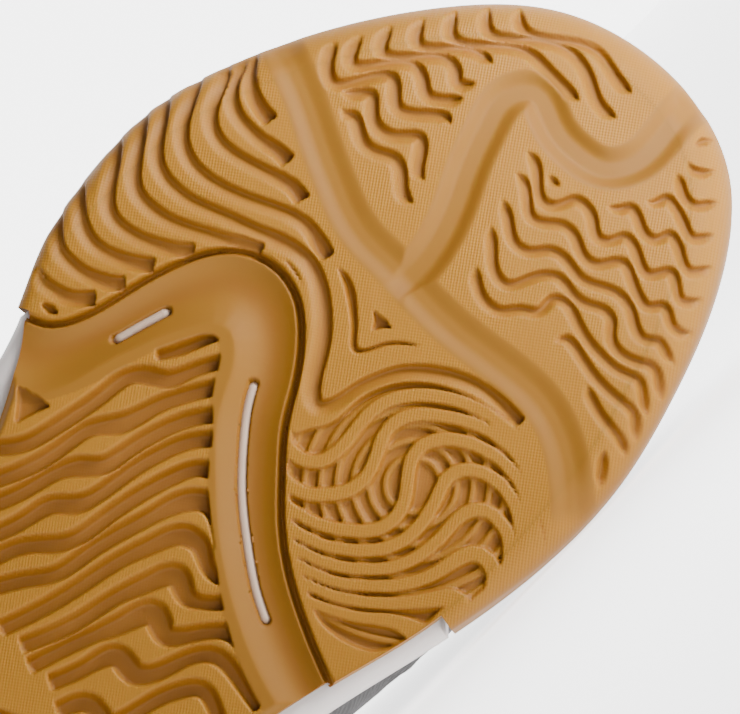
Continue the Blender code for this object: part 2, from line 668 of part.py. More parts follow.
def build_midsole(look, parent):
    """Foam midsole: full width behind the split, set in behind the rubber wall in front."""
    w = ring(stations(34, extra=(FOAM_FULL, FOAM_STEP)))
    x = outline(w)[0][:, 0]
    back = np.clip((x - FOAM_FULL) / (FOAM_STEP - FOAM_FULL), 0.0, 1.0)
    inset = (RUBBER + FIT) * back
    rings = []
    for extra, rise in ((3.2, RUBBER + FIT), (1.1, 4.8), (0.0, 7.6)):
        plan, _ = outline(w, inset + extra)
        rings.append(np.column_stack([plan, ground(plan[:, 0]) + rise]))
    plan, _ = outline(w, inset + 0.9 * (1.0 - back))
    rings.append(np.column_stack([plan, sole_top(plan[:, 0])]))
    return ring_solid("midsole", rings, look, parent)


def build_insole(look, parent):
    """Footbed lying on the midsole inside the upper."""
    w = ring(stations(26))
    places = [row[0] for row in SECTIONS]
    inset = around(places, [r[1] for r in SECTIONS], [r[1] for r in SECTIONS], w)
    rings = []
    for extra, rise in ((2.0, FIT), (1.3, FIT + 1.0), (1.5, FIT + INSOLE_THICK)):
        plan, _ = outline(w, inset + UPPER_THICK + extra)
        rings.append(np.column_stack([plan, sole_top(plan[:, 0]) + rise]))
    return ring_solid("insole", rings, look, parent)


# Upper pieces
def build_upper(look, parent):
    """Hollow upper: outer and inner face from sole to collar, open at the foot and underneath."""
    w = ring(UPPER_PLACES)
    levels = UPPER_LEVELS
    count, rows = len(w), len(levels)
    outer = upper_off(w[:, None], levels[None, :], np.zeros((count, rows)))
    inner = upper_off(w[:, None], levels[None, :], np.full((count, rows), -UPPER_THICK))
    inner[:, 0, 2] = outer[:, 0, 2]
    points = np.vstack([outer.reshape(-1, 3), inner.reshape(-1, 3)])
    shift = count * rows
    faces = []
    for i in range(count):
        j = (i + 1) % count
        for k in range(rows - 1):
            a, b = i * rows + k, j * rows + k
            faces += [(a, b, b + 1), (a, b + 1, a + 1)]
            faces += [(shift + b + 1, shift + b, shift + a), (shift + a + 1, shift + b + 1, shift + a)]
        for k, flip in ((0, False), (rows - 1, True)):
            a, b = i * rows + k, j * rows + k
            rim = (a, shift + a, shift + b, b)
            faces.append(tuple(reversed(rim)) if flip else rim)
    return solid("upper", points, faces, look, parent, 50.0)


def slab(name, top, bottom, look, parent):
    """Body between two open grids of points of the same shape."""
    count, rows = top.shape[:2]
    shift = count * rows
    faces = []
    for i in range(count - 1):
        for k in range(rows - 1):
            a = i * rows + k
            b = a + rows
            faces += [(a, b, b + 1), (a, b + 1, a + 1)]
            faces += [(shift + b + 1, shift + b, shift + a), (shift + a + 1, shift + b + 1, shift + a)]
    border = [i * rows for i in range(count)]
    border += [(count - 1) * rows + k for k in range(1, rows)]
    border += [i * rows + rows - 1 for i in range(count - 2, -1, -1)]
    border += [k for k in range(rows - 2, 0, -1)]
    for a, b in zip(border, border[1:] + border[:1]):
        faces.append((a, shift + a, shift + b, b))
    points = np.vstack([top.reshape(-1, 3), bottom.reshape(-1, 3)])
    return solid(name, points, faces, look, parent, 45.0)


def overlay(name, w, levels, look, parent):
    """Thin piece laid over the upper; each place has its own levels."""
    wide = np.broadcast_to(w[:, None], levels.shape)
    near = upper_off(wide, levels, np.full(levels.shape, FIT))
    far = upper_off(wide, levels, np.full(levels.shape, FIT + OVERLAY_THICK))
    return slab(name, far, near, look, parent)


def build_overlays(look, parent):
    """Heel counter round the back and eyestay round the throat."""
    w = UPPER_PLACES[UPPER_PLACES < 0.38]
    w = np.concatenate([-w[:0:-1], w])
    share = np.linspace(0.0, 1.0, 4)[None, :]
    high = (0.5 - 0.27 * (np.abs(w) / 0.37) ** 2)[:, None]
    overlay("heel_counter", w, 0.02 * (1 - share) + high * share, look, parent)
    w = UPPER_PLACES[UPPER_PLACES > 0.52]
    w = np.concatenate([w, 2.0 - w[-2::-1]])
    levels = np.broadcast_to(np.array([0.78, 0.9, 0.99])[None, :], (len(w), 3))
    overlay("eyestay", w, levels, look, parent)


def throat_row(place, off, sag):
    """Seven points across the throat at one place, from under one side to under the other."""
    sides = []
    for w in (place, 2.0 - place):
        levels = np.array([0.86, 1.0])
        sides.append(upper_off(np.full(2, w), levels, np.full(2, off)))
    left, right = sides
    row = [left[0], left[1]]
    for share in (0.25, 0.5, 0.75):
        point = left[1] * (1 - share) + right[1] * share
        row.append(point + np.array([0.25, 0.0, 1.0]) * sag * 4 * share * (1 - share))
    row += [right[1], right[0]]
    return np.array(row)


def build_tongue(look, parent):
    """Padded tongue under the throat, standing up past the top eyelets."""
    rows = []
    for place in np.linspace(0.9, 0.53, 11):
        rise = TONGUE_RISE * min(1.0, (0.93 - place) / 0.15)
        rows.append(throat_row(place, -UPPER_THICK - 0.6, rise))
    lead = rows[0] + np.array([9.0, 0.0, -3.4])
    rows[0] = rows[0] + np.array([0.0, 0.0, -1.0])
    top = rows[-1]
    middle = top[3]
    run = rows[-1][3] - rows[-2][3]
    run /= np.linalg.norm(run)
    grown = [lead] + rows
    for share in (0.35, 0.7, 1.0):
        squeeze = np.array([1.0 - 0.4 * share, 1.0 - 0.24 * share, 1.0 - 0.6 * share])
        grown.append(middle + (top - middle) * squeeze + run * TONGUE_TOP * share)
    grid = np.array(grown)
    along = np.gradient(grid, axis=0)
    across = np.gradient(grid, axis=1)
    normal = np.cross(across, along)
    normal /= np.linalg.norm(normal, axis=-1, keepdims=True)
    if normal[5, 3, 2] < 0.0:
        normal = -normal
    return slab("tongue", grid, grid - normal * TONGUE_THICK, look, parent)


def lace_place(along, across, height):
    """Point over the throat: along 0 to 1 upwards, across -1 to 1 between its edges."""
    opening = [row[2] for row in SECTIONS]
    spot = LACE_FRONT + (LACE_BACK - LACE_FRONT) * along
    place = float(np.interp(spot, opening, [row[0] for row in SECTIONS]))
    edges = []
    for w in (place, 2.0 - place):
        side = -1.0 if w < 1.0 else 1.0
        past = max(across * side - 1.0, 0.0)
        level = 1.0 - 0.2 * past
        edges.append(upper_off(np.array([w]), np.array([level]), np.array([height]))[0])
    if abs(across) >= 1.0:
        return edges[0] if across < 0 else edges[1]
    share = (across + 1.0) / 2.0
    point = edges[0] * (1 - share) + edges[1] * share
    return point + np.array([0.3, 0.0, 1.0]) * 3.0 * 4 * share * (1 - share)


def build_lace(look, parent):
    """Crossed lace as one flat joined body, its ends stopping at the top eyelets."""
    length, width = 92.0, 19.0
    rows = np.linspace(0.05, 0.97, EYELET_ROWS)
    strips = [((rows[0], -1.0), (rows[0], 1.0))]
    for a, b in zip(rows, rows[1:]):
        strips += [((a, -1.0), (b, 1.0)), ((a, 1.0), (b, -1.0))]
    points, ties, outlines = [], [], []
    reach = 1.42
    for (a, side_a), (b, side_b) in strips:
        start = np.array([a * length, side_a * reach * width])
        end = np.array([b * length, side_b * reach * width])
        run = (end - start) / np.linalg.norm(end - start)
        across = np.array([-run[1], run[0]]) * LACE_HALF
        steps = np.linspace(0.0, 1.0, 8)[:, None]
        spine = start * (1 - steps) + end * steps
        shape = np.vstack([spine + across, (spine - across)[::-1]])
        first = len(points)
        points += [Vector((float(p[0]), float(p[1]))) for p in shape]
        names = list(range(first, len(points)))
        ties += list(zip(names, names[1:] + names[:1]))
        outlines.append(shape)
    made, _, triangles = delaunay_2d_cdt(points, ties, [], 0, 1e-5)[:3]
    flat = np.array([[p.x, p.y] for p in made])
    middle = np.array([flat[list(t)].mean(axis=0) for t in triangles])
    keep = np.zeros(len(triangles), bool)
    for shape in outlines:
        keep |= inside(middle, shape)
    faces = [tuple(t) for t, k in zip(triangles, keep) if k]
    low = OVERLAY_THICK + 4 * FIT
    count = len(flat)
    space = []
    for height in (low + LACE_THICK, low):
        space += [lace_place(p[0] / length, p[1] / width, height) for p in flat]
    edges = {}
    for a, b, c in faces:
        for edge in ((a, b), (b, c), (c, a)):
            edges[edge] = edges.get(edge, 0) + 1
    body = list(faces) + [tuple(count + i for i in reversed(f)) for f in faces]
    for a, b in edges:
        if (b, a) not in edges:
            body.append((b, a, count + a, count + b))
    used = sorted({i for face in body for i in face})
    rename = {old: new for new, old in enumerate(used)}
    body = [tuple(rename[i] for i in face) for face in body]
    return solid("lace", [space[i] for i in used], body, look, parent, 60.0)


# Lying pose
def lay_down(frame, pieces):
    """Turn the whole shoe on to the hull face it rests on with its medial side down."""
    work = bmesh.new()
    weight, balance = 0.0, Vector()
    density = {"outsole_forefoot": 1.1, "outsole_rear": 1.1, "midsole": 0.2, "insole": 0.2,
               "upper": 0.55, "tongue": 0.3, "lace": 0.7, "eyestay": 0.9, "heel_counter": 0.9}
    for piece in pieces:
        for vertex in piece.data.vertices:
            work.verts.new(vertex.co)
        piece.data.calc_loop_triangles()
        for face in piece.data.loop_triangles:
            a, b, c = (piece.data.vertices[i].co for i in face.vertices)
            volume = a.dot(b.cross(c)) / 6.0 * density[piece.name]
            weight += volume
            balance += (a + b + c) / 4.0 * volume
    balance /= weight
    hull = bmesh.ops.convex_hull(work, input=work.verts)
    best, normal = None, Vector((0.0, 1.0, 0.0))
    for item in hull["geom"]:
        if not isinstance(item, bmesh.types.BMFace):
            continue
        if item.normal.y < 0.8:
            continue
        reach = item.normal.dot(item.verts[0].co - balance)
        if best is None or reach < best:
            best, normal = reach, item.normal.copy()
    work.free()
    up = -normal
    right = (Vector((1.0, 0.0, 0.0)) - up * up.x).normalized()
    back = up.cross(right)
    turn = Matrix((right, back, up)).to_4x4()
    spots = [turn @ vertex.co for piece in pieces for vertex in piece.data.vertices]
    low = Vector([min(s[i] for s in spots) for i in range(3)])
    high = Vector([max(s[i] for s in spots) for i in range(3)])
    middle = (low + high) / 2.0
    frame.rotation_euler = turn.to_euler()
    frame.location = Vector((-middle.x, -middle.y, -low.z))
    return balance, weight


def main():
    """Build the shoe."""
    for old in list(bpy.data.objects):
        bpy.data.objects.remove(old)
    frame = bpy.data.objects.new("shoe_frame", None)
    bpy.context.collection.objects.link(frame)
    gum = material("gum rubber", (0.47, 0.26, 0.09), 0.62)
    foam = material("white foam", (0.8, 0.79, 0.77), 0.6)
    cloth = material("charcoal mesh", (0.055, 0.05, 0.052), 0.85)
    trim = material("black synthetic", (0.025, 0.024, 0.026), 0.55)
    lining = material("grey lining", (0.12, 0.115, 0.115), 0.9)
    cord = material("dark lace", (0.035, 0.034, 0.036), 0.8)
    build_forefoot(gum, frame)
    build_rear(gum, frame)
    build_midsole(foam, frame)
    build_insole(lining, frame)
    build_upper(cloth, frame)
    build_overlays(trim, frame)
    build_tongue(lining, frame)
    build_lace(cord, frame)
    pieces = [o for o in bpy.data.objects if o.type == "MESH"]
    lay_down(frame, pieces)


main()
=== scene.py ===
"""Dressed scene of an indoor court shoe for the right foot, lying on its side with the sole shown.

Shapes are worked out in the shoe's own frame in millimetres: heel at 0, toe along +X, medial
side +Y, ground at 0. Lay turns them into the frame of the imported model, in metres.
"""
import json
import logging
import math
from dataclasses import dataclass, field
from enum import Enum
from typing import Any

import bmesh
import bpy
import numpy as np
from mathutils import Matrix, Vector


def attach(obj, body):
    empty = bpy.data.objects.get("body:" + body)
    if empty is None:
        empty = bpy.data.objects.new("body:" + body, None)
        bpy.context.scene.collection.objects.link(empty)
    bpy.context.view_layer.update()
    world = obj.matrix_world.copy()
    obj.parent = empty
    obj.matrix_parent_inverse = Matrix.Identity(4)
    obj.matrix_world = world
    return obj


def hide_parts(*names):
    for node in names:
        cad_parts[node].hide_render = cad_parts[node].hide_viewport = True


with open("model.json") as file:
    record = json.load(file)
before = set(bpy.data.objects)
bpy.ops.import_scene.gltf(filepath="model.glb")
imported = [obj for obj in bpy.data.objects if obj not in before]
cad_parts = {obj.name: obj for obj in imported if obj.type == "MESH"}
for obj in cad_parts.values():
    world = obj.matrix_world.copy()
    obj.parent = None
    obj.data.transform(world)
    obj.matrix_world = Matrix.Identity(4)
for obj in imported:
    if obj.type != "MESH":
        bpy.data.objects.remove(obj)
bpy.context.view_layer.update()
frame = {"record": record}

LOG = logging.getLogger("shoe")
MM = 0.001
SOLE_LENGTH = 286.4
TOE_SPRING = 12.0
HEEL_BEVEL = 4.0
ARCH_RISE = 2.5
RUBBER = 3.2
FIT = 0.4
UPPER_THICK = 2.4
OVERLAY_THICK = 1.2
TONGUE_THICK = 4.0
INSOLE_THICK = 4.0
PHOTO_WIDTH = 740
SPRING_START = 215.0
BEVEL_LENGTH = 28.0
ARCH_START = 75.0
ARCH_LENGTH = 90.0
ORIGIN_X = 48.0

Values = float | list | tuple | np.ndarray
Rows = tuple[tuple[float, ...], ...]
Colour = tuple[float, float, float]
Socket = bpy.types.NodeSocket

# Sole wall seen from below: x, lateral y, medial y
OUTLINE = (
    (0.0, 0.0, 0.0), (5.0, -18.0, 18.0), (16.0, -30.5, 30.5), (38.0, -38.6, 38.4),
    (70.0, -39.0, 37.0), (100.0, -38.7, 34.2), (130.0, -42.0, 35.5), (155.0, -47.2, 42.0),
    (172.0, -50.4, 48.2), (186.0, -55.2, 52.6), (202.0, -57.4, 56.0), (219.0, -56.2, 57.0),
    (236.0, -49.6, 54.6), (252.0, -40.2, 50.4), (266.0, -29.4, 44.4), (276.0, -19.4, 37.2),
    (283.0, -8.4, 26.6), (286.4, 9.0, 9.0),
)
# Sole heights: x, top of the midsole, top of the rubber wall, bottom corner radius
HEIGHTS = (
    (0.0, 27.5, 12.0, 3.0), (40.0, 24.5, 12.0, 3.0), (80.0, 23.4, 12.0, 3.0),
    (115.0, 22.2, 12.0, 3.0), (150.0, 19.6, 12.0, 3.0), (178.0, 16.8, 12.4, 3.0),
    (205.0, 14.8, 12.2, 6.4), (225.0, 14.4, 12.8, 7.2), (245.0, 16.2, 15.6, 7.2),
    (262.0, 19.0, 20.0, 7.2), (276.0, 22.2, 24.8, 7.2), (286.4, 24.6, 28.6, 7.2),
)
# Rear rubber edge, how far in from the sole wall: x, lateral, medial
REAR_INSET = (
    (0.0, 4.0, 4.0), (40.0, 4.6, 4.6), (100.0, 7.0, 6.0), (135.0, 7.6, 4.6),
    (157.0, 6.8, 3.8), (166.0, 4.4, 3.6), (172.0, 2.6, 3.4), (286.4, 2.6, 3.4),
)
# Upper sections: place, feather inset, opening x, half width, height, lift, lateral and medial
# bulge, reach and drop at the top
SECTIONS = (
    (0.00, 3.4, 9.0, 0.0, 89.0, 20.0, 3.0, 3.0, 6.0, -17.0),
    (0.08, 3.6, 11.5, 11.5, 88.2, 20.0, 2.2, 2.2, 4.6, -17.0),
    (0.16, 4.4, 21.0, 21.5, 84.5, 20.0, 0.6, 0.6, 2.6, -17.0),
    (0.25, 5.0, 42.0, 27.0, 74.5, 18.0, -1.2, -1.2, 1.6, -16.0),
    (0.33, 5.2, 66.0, 28.5, 68.5, 17.0, -1.8, -1.6, 1.6, -16.0),
    (0.40, 4.8, 88.0, 28.5, 74.0, 19.0, -1.6, 1.4, 3.2, -18.0),
    (0.46, 4.0, 103.0, 27.0, 87.0, 24.0, 0.0, 6.0, 7.0, -20.0),
    (0.51, 4.2, 113.0, 24.5, 96.0, 25.0, 0.5, 8.0, 10.0, -18.0),
    (0.57, 4.2, 132.0, 21.5, 90.0, 22.0, 0.4, 5.4, 13.0, -12.0),
    (0.63, 4.4, 155.0, 19.0, 80.0, 19.0, 0.2, 1.6, 15.0, -8.5),
    (0.69, 4.4, 176.0, 16.5, 69.5, 18.0, 0.0, 0.2, 17.0, -5.0),
    (0.76, 4.4, 193.0, 13.0, 60.5, 18.0, 0.0, 0.0, 21.0, -2.0),
    (0.84, 4.4, 202.5, 8.6, 55.6, 19.0, 0.0, 0.0, 28.0, 0.0),
    (0.92, 4.4, 207.0, 4.4, 53.4, 20.0, 0.0, 0.0, 34.0, 1.0),
    (1.00, 4.4, 208.5, 0.0, 52.6, 21.0, 0.0, 0.0, 37.0, 1.5),
)
# Line where the sole splits in two, lateral wall to medial wall
SPLIT = (
    (172.9, -52.5), (174.3, -47.4), (175.2, -44.8), (176.8, -42.8), (181.0, -40.0),
    (190.0, -36.5), (200.0, -32.2), (207.0, -26.8), (210.2, -18.0), (208.2, -11.0),
    (203.0, -5.6), (196.0, -1.2), (189.0, 2.1), (181.5, 7.3), (174.5, 12.9), (168.0, 19.8),
    (162.6, 27.8), (158.6, 35.0), (156.6, 39.0), (154.4, 43.6),
)
# Far edge of the cove behind the split, and the line where the rear waves stop
COVE_EDGE = (
    (160.0, -45.0), (163.0, -38.4), (168.0, -34.4), (175.0, -31.6), (184.0, -27.4),
    (191.6, -22.6), (195.6, -17.0), (192.5, -13.0), (183.0, -8.8), (174.5, -2.8), (165.0, 5.8),
    (156.0, 17.0), (149.5, 28.5), (146.0, 38.0),
)
RIB_STOP = (
    (158.0, -46.0), (160.5, -40.0), (166.6, -34.0), (173.0, -30.4), (182.0, -26.6),
    (189.6, -22.4), (193.4, -17.8), (189.8, -14.2), (185.5, -12.2), (181.5, -9.0),
    (177.7, -6.0), (173.9, -3.7), (168.2, 1.2), (163.0, 6.6), (158.8, 11.0), (155.8, 14.4),
    (152.7, 18.5), (148.2, 25.8), (145.6, 32.0), (143.0, 40.0),
)
WINDOWS = (
    ((181.2, -32.7), (186.0, -30.8), (191.2, -28.6)),
    ((158.2, 22.4), (160.4, 18.8), (166.2, 11.6), (173.4, 4.2), (181.4, -2.0), (187.6, -5.8),
     (190.8, -7.2)),
)


class Fade(Enum):
    """How a groove ends."""

    CUT = 0.45
    POINTED = 3.2


@dataclass(frozen=True)
class Cut:
    """One kind of groove, in millimetres.

    half and depth are the floor's half width and depth, toe_wall and heel_wall the widths of the
    two walls, and fade says how it ends. spread moves the heel wall out, shelf the toe wall, and
    over the last mouth millimetres the heel wall grows steeper.
    """

    half: float
    depth: float
    toe_wall: float
    heel_wall: float
    fade: Fade = Fade.POINTED
    spread: float = 0.0
    shelf: float = 0.0
    mouth: float = 0.0


LATERAL = Cut(0.8, 1.7, 0.7, 3.2, Fade.POINTED, 2.3, mouth=12.0)
LATERAL_LONG = Cut(0.8, 1.7, 0.7, 3.0, Fade.POINTED, 2.1, mouth=12.0)
ZIGZAG = Cut(1.0, 1.4, 0.9, 1.9, Fade.POINTED, 0.9)
STEP = Cut(1.0, 1.6, 0.85, 2.4, Fade.POINTED, 1.5)
PIT = Cut(1.0, 1.5, 0.65, 0.65, Fade.CUT)
SWIRL = Cut(0.9, 1.5, 0.85, 0.85, Fade.POINTED)
WAVE = Cut(1.45, 2.2, 1.7, 0.6, Fade.CUT, shelf=1.1)

# Grooves of the tread, heel end to toe end of each field. A third number is the half width there
TREAD: tuple[tuple[Cut, tuple[Rows, ...]], ...] = (
    (PIT, (
        ((177.8, -47.4, 0.7), (177.9, -45.6, 1.1), (178.2, -44.2, 0.5)),
    )),
    (LATERAL, (
        ((182.5, -53.5), (181.8, -50.0), (182.0, -47.5), (182.6, -45.0), (184.0, -42.8),
         (185.6, -40.9)),
        ((195.0, -58.0), (190.5, -54.0), (188.3, -51.0), (187.8, -48.0), (188.0, -45.0),
         (189.0, -42.0), (190.0, -39.8), (191.2, -38.2)),
        ((201.0, -57.6), (196.0, -52.6), (194.0, -49.5), (193.3, -47.0), (193.6, -44.0),
         (194.6, -41.0), (195.8, -38.5), (197.2, -36.0)),
        ((212.0, -57.6), (207.0, -53.6), (202.0, -50.5), (199.6, -48.0), (199.0, -45.0),
         (199.5, -41.0), (201.0, -37.0), (202.5, -34.0), (204.0, -32.0)),
        ((219.0, -57.0), (213.0, -52.4), (208.5, -49.5), (206.0, -47.0), (205.2, -44.0),
         (205.3, -40.0), (206.3, -36.0), (207.8, -32.0), (209.2, -28.5), (210.8, -25.0),
         (211.9, -21.6)),
    )),
    (LATERAL_LONG, (
        ((224.0, -56.0), (219.0, -51.8), (214.5, -49.0), (212.0, -46.5), (210.8, -43.0),
         (210.7, -39.0), (211.5, -35.0), (212.8, -30.0), (214.0, -25.0), (215.0, -21.0, 1.1),
         (215.7, -17.0, 1.0), (215.4, -13.0, 1.0), (213.5, -9.0, 1.0), (210.0, -5.0, 1.1),
         (206.0, -1.8, 1.1), (201.0, 0.8, 1.0), (197.2, 2.9, 1.0), (195.7, 4.9, 0.9),
         (197.4, 6.4, 0.7), (201.0, 7.6, 0.6), (206.0, 9.9, 0.75), (210.0, 12.8, 0.9),
         (213.4, 17.2, 0.95), (215.8, 22.0, 0.85), (217.0, 27.0, 0.7), (217.2, 32.0, 0.6),
         (216.7, 36.8, 0.4)),
        ((231.0, -53.5), (226.0, -50.4), (221.0, -48.0), (218.0, -45.5), (216.3, -42.0),
         (216.0, -38.0), (216.8, -33.0), (218.3, -28.0), (219.8, -23.5), (220.6, -19.5),
         (220.3, -16.0), (219.3, -13.0, 1.0), (218.7, -10.6, 0.6)),
        ((235.5, -50.4), (231.0, -47.4), (226.5, -45.5), (224.0, -43.5), (222.6, -40.0),
         (222.7, -36.0), (223.6, -31.0), (224.5, -27.0), (224.7, -24.5), (224.0, -21.2, 0.8)),
        ((238.5, -48.4), (234.0, -46.4), (231.0, -44.5), (229.0, -42.0), (228.0, -38.0),
         (228.0, -34.0), (228.3, -31.5), (228.0, -28.0, 0.8)),
        ((240.5, -47.6), (236.4, -44.8), (234.0, -42.0), (232.8, -39.5), (232.0, -35.6, 0.8)),
    )),
    (SWIRL, (
        ((212.0, -18.6, 0.3), (212.2, -16.0, 0.45), (211.6, -13.5, 0.45), (210.4, -10.6, 0.25)),
        ((217.5, -9.2, 0.3), (216.6, -6.0, 0.9), (215.0, -3.4, 1.1), (212.6, -0.8, 0.9),
         (209.6, 1.8, 0.8), (207.4, 4.0, 0.8), (208.6, 5.6, 0.6), (211.5, 7.5, 0.6),
         (213.8, 10.2, 0.6), (215.9, 14.0, 0.25)),
    )),
    (PIT, (
        ((212.2, 4.2, 0.3), (213.6, 4.3, 1.2), (215.0, 4.4, 2.7)),
    )),
    (ZIGZAG, (
        ((221.8, 51.2), (219.0, 53.5), (215.0, 55.5)),
        ((229.0, 41.2), (227.5, 44.0), (226.0, 48.0), (225.3, 51.5), (224.0, 54.5), (222.5, 55.5)),
        ((231.0, 31.8), (233.3, 33.0), (233.0, 36.0), (231.5, 40.5), (230.7, 45.0), (230.6, 49.0),
         (230.2, 52.0), (228.0, 54.0), (226.0, 55.3)),
        ((233.8, 11.3), (231.5, 13.5), (229.6, 17.0), (230.0, 20.3), (232.5, 23.0), (234.3, 25.8),
         (237.5, 26.2), (238.6, 28.0), (237.5, 32.0), (235.8, 36.0), (235.0, 40.0), (235.0, 45.0),
         (235.6, 48.5), (234.0, 51.0), (231.0, 54.0)),
        ((241.3, 8.5), (238.5, 11.5), (235.0, 15.0), (234.5, 18.0), (237.0, 20.0), (240.0, 22.0),
         (241.5, 24.5), (240.8, 28.5), (240.8, 31.5), (242.0, 35.0), (241.3, 37.5), (238.7, 39.5),
         (237.6, 42.0), (238.3, 46.0), (239.2, 49.5), (237.5, 52.0), (235.0, 54.0)),
        ((246.5, 6.8), (244.5, 10.3), (241.5, 14.5), (242.0, 17.3), (244.5, 20.0), (245.0, 23.5),
         (244.0, 28.0), (245.2, 32.0), (246.0, 35.0), (245.0, 39.0), (242.6, 42.5), (242.3, 44.0),
         (243.6, 46.5), (243.0, 49.0), (241.8, 52.0)),
        ((251.7, 5.5), (251.7, 8.0), (249.0, 11.3), (247.3, 13.6), (248.0, 16.0), (249.8, 19.0),
         (249.3, 22.5), (247.5, 26.0), (248.0, 28.6), (250.0, 30.3), (251.2, 32.0), (250.0, 35.0),
         (248.0, 38.5), (247.6, 41.0), (249.3, 42.8), (249.0, 44.5), (247.5, 47.0), (248.0, 49.3),
         (249.5, 50.3)),
        ((256.2, 4.3), (256.2, 6.5), (253.5, 10.0), (251.0, 13.6), (252.0, 15.6), (255.0, 17.5),
         (255.3, 20.0), (254.0, 22.8), (252.0, 25.6), (253.0, 27.6), (255.2, 29.0), (255.0, 31.5),
         (253.0, 34.8), (252.4, 37.0), (254.0, 38.5), (255.3, 39.8), (254.0, 42.5), (252.4, 45.2),
         (254.0, 47.0), (255.5, 47.8)),
        ((257.5, 22.5), (258.5, 24.8), (260.2, 26.3), (259.5, 29.0), (258.0, 32.0), (258.5, 34.0),
         (260.6, 35.0), (260.0, 38.0), (258.0, 41.0), (257.7, 42.5), (259.0, 44.0), (261.5, 45.3)),
        ((262.7, 27.5), (263.6, 29.2), (265.8, 30.3), (265.5, 33.0), (263.8, 36.5), (263.0, 38.8),
         (264.0, 40.2), (266.5, 41.8)),
        ((270.8, 28.3), (269.8, 30.5), (268.0, 33.5), (268.3, 35.5), (270.0, 37.0), (271.8, 38.5)),
        ((274.0, 28.5), (273.3, 30.5), (274.3, 32.5), (276.3, 34.0)),
        ((276.5, 28.3), (279.5, 28.5), (280.8, 30.0)),
        ((255.6, 10.3), (255.0, 12.8), (255.1, 14.5)),
    )),
    (STEP, (
        ((241.5, -27.5), (241.0, -26.0), (241.6, -25.0), (240.5, -22.0), (238.9, -19.0),
         (239.5, -16.0), (240.3, -13.5), (239.0, -10.5), (236.0, -7.5), (235.3, -4.5)),
        ((243.2, -29.8), (245.5, -27.0), (247.0, -24.6), (244.5, -22.0), (243.0, -19.5),
         (243.3, -17.0), (245.5, -14.0), (246.3, -12.5), (245.0, -10.5), (241.0, -8.0),
         (239.7, -5.8)),
        ((251.0, -36.5), (246.0, -34.0), (244.5, -32.0), (249.0, -27.5), (252.0, -23.5),
         (250.5, -21.5), (248.2, -19.0), (249.0, -16.5), (251.5, -13.0), (252.3, -11.0),
         (251.0, -9.0)),
        ((255.0, -33.5), (249.5, -31.0), (253.0, -27.0), (256.5, -21.5), (255.0, -18.5),
         (253.6, -16.5), (254.5, -14.0), (257.3, -10.5)),
        ((260.0, -30.5), (254.8, -28.0), (258.0, -23.0), (261.3, -17.5), (260.0, -14.7),
         (259.0, -13.8), (259.8, -12.0), (261.0, -10.6)),
        ((265.0, -27.0), (260.2, -24.0), (263.0, -19.5), (266.0, -13.5), (265.5, -10.5)),
        ((270.0, -23.5), (265.3, -20.0), (269.0, -13.0), (272.0, -6.5), (271.5, -2.0),
         (270.8, 3.0), (270.0, 6.5)),
        ((274.5, -19.5), (270.5, -15.5), (274.0, -9.0), (277.0, -1.5), (275.5, 4.0), (272.5, 9.0),
         (271.9, 14.0)),
        ((278.0, -15.0), (275.0, -11.0), (278.0, -4.0), (280.4, 2.0), (278.6, 8.0), (277.5, 13.0)),
    )),
    (PIT, (
        ((157.6, -37.2, 0.4), (160.6, -37.4, 2.0), (163.6, -37.7, 4.0)),
    )),
    (WAVE, (
        ((150.0, -38.4), (155.5, -33.0), (160.0, -31.0), (166.0, -29.0), (172.0, -27.3),
         (177.5, -25.5), (179.2, -23.4, 1.7), (181.0, -20.0, 1.6), (185.0, -17.4, 1.3),
         (190.6, -13.4, 1.3)),
        ((183.3, -24.2, 0.9), (187.0, -21.5, 1.1), (192.0, -18.6, 1.0), (195.0, -16.6, 1.0)),
        ((144.0, -35.0), (153.0, -29.5), (160.0, -27.0), (165.5, -25.0), (168.9, -21.8, 1.9),
         (176.0, -18.3), (181.0, -15.3), (186.0, -11.4)),
        ((140.0, -32.6), (149.0, -27.5), (155.0, -25.0), (158.4, -22.3, 1.9), (161.0, -19.3, 1.7),
         (166.0, -17.3), (172.0, -15.1), (178.0, -11.8), (182.6, -7.6)),
        ((135.0, -29.4), (145.0, -24.0), (149.8, -21.8, 1.7), (152.2, -18.8, 1.8), (156.0, -16.5),
         (163.0, -14.5), (170.0, -11.9), (175.2, -8.8), (178.8, -4.8)),
        ((131.0, -26.0), (141.5, -20.3, 1.5), (144.0, -17.3, 1.7), (147.0, -14.9), (154.0, -12.5),
         (161.0, -10.3), (168.2, -7.2), (172.2, -4.2), (173.4, -0.6)),
        ((127.0, -23.5), (136.0, -17.0, 1.5), (140.0, -13.5), (147.0, -11.0), (154.0, -8.4),
         (160.0, -5.8, 1.5), (165.9, -2.6, 2.0), (167.9, 0.6, 2.0), (166.6, 3.6, 1.4),
         (162.6, 7.4, 0.9)),
        ((126.0, -15.0), (136.0, -10.3), (143.0, -7.8), (150.0, -5.3), (156.5, -2.1, 1.7),
         (160.8, 1.4, 2.0), (161.0, 4.0, 1.8), (159.0, 7.4, 1.3), (158.4, 10.4, 1.2),
         (160.2, 13.4, 1.2)),
        ((126.0, -10.0), (137.0, -4.2), (144.0, -1.7), (150.0, 1.4, 1.8), (153.8, 4.6, 2.2),
         (152.2, 8.0, 1.8), (152.8, 11.0, 1.3), (157.0, 16.0, 1.3)),
        ((124.0, -6.4), (136.0, -0.6), (142.2, 2.8, 2.0), (145.8, 5.6, 2.4), (144.2, 9.5, 2.0),
         (146.6, 13.0, 1.5), (150.5, 16.7, 1.4), (151.9, 19.0, 1.5), (149.4, 24.6, 1.0)),
        ((124.0, -1.4), (131.0, 2.2), (135.6, 5.4, 2.1), (135.0, 9.2, 2.1), (137.2, 12.4, 1.6),
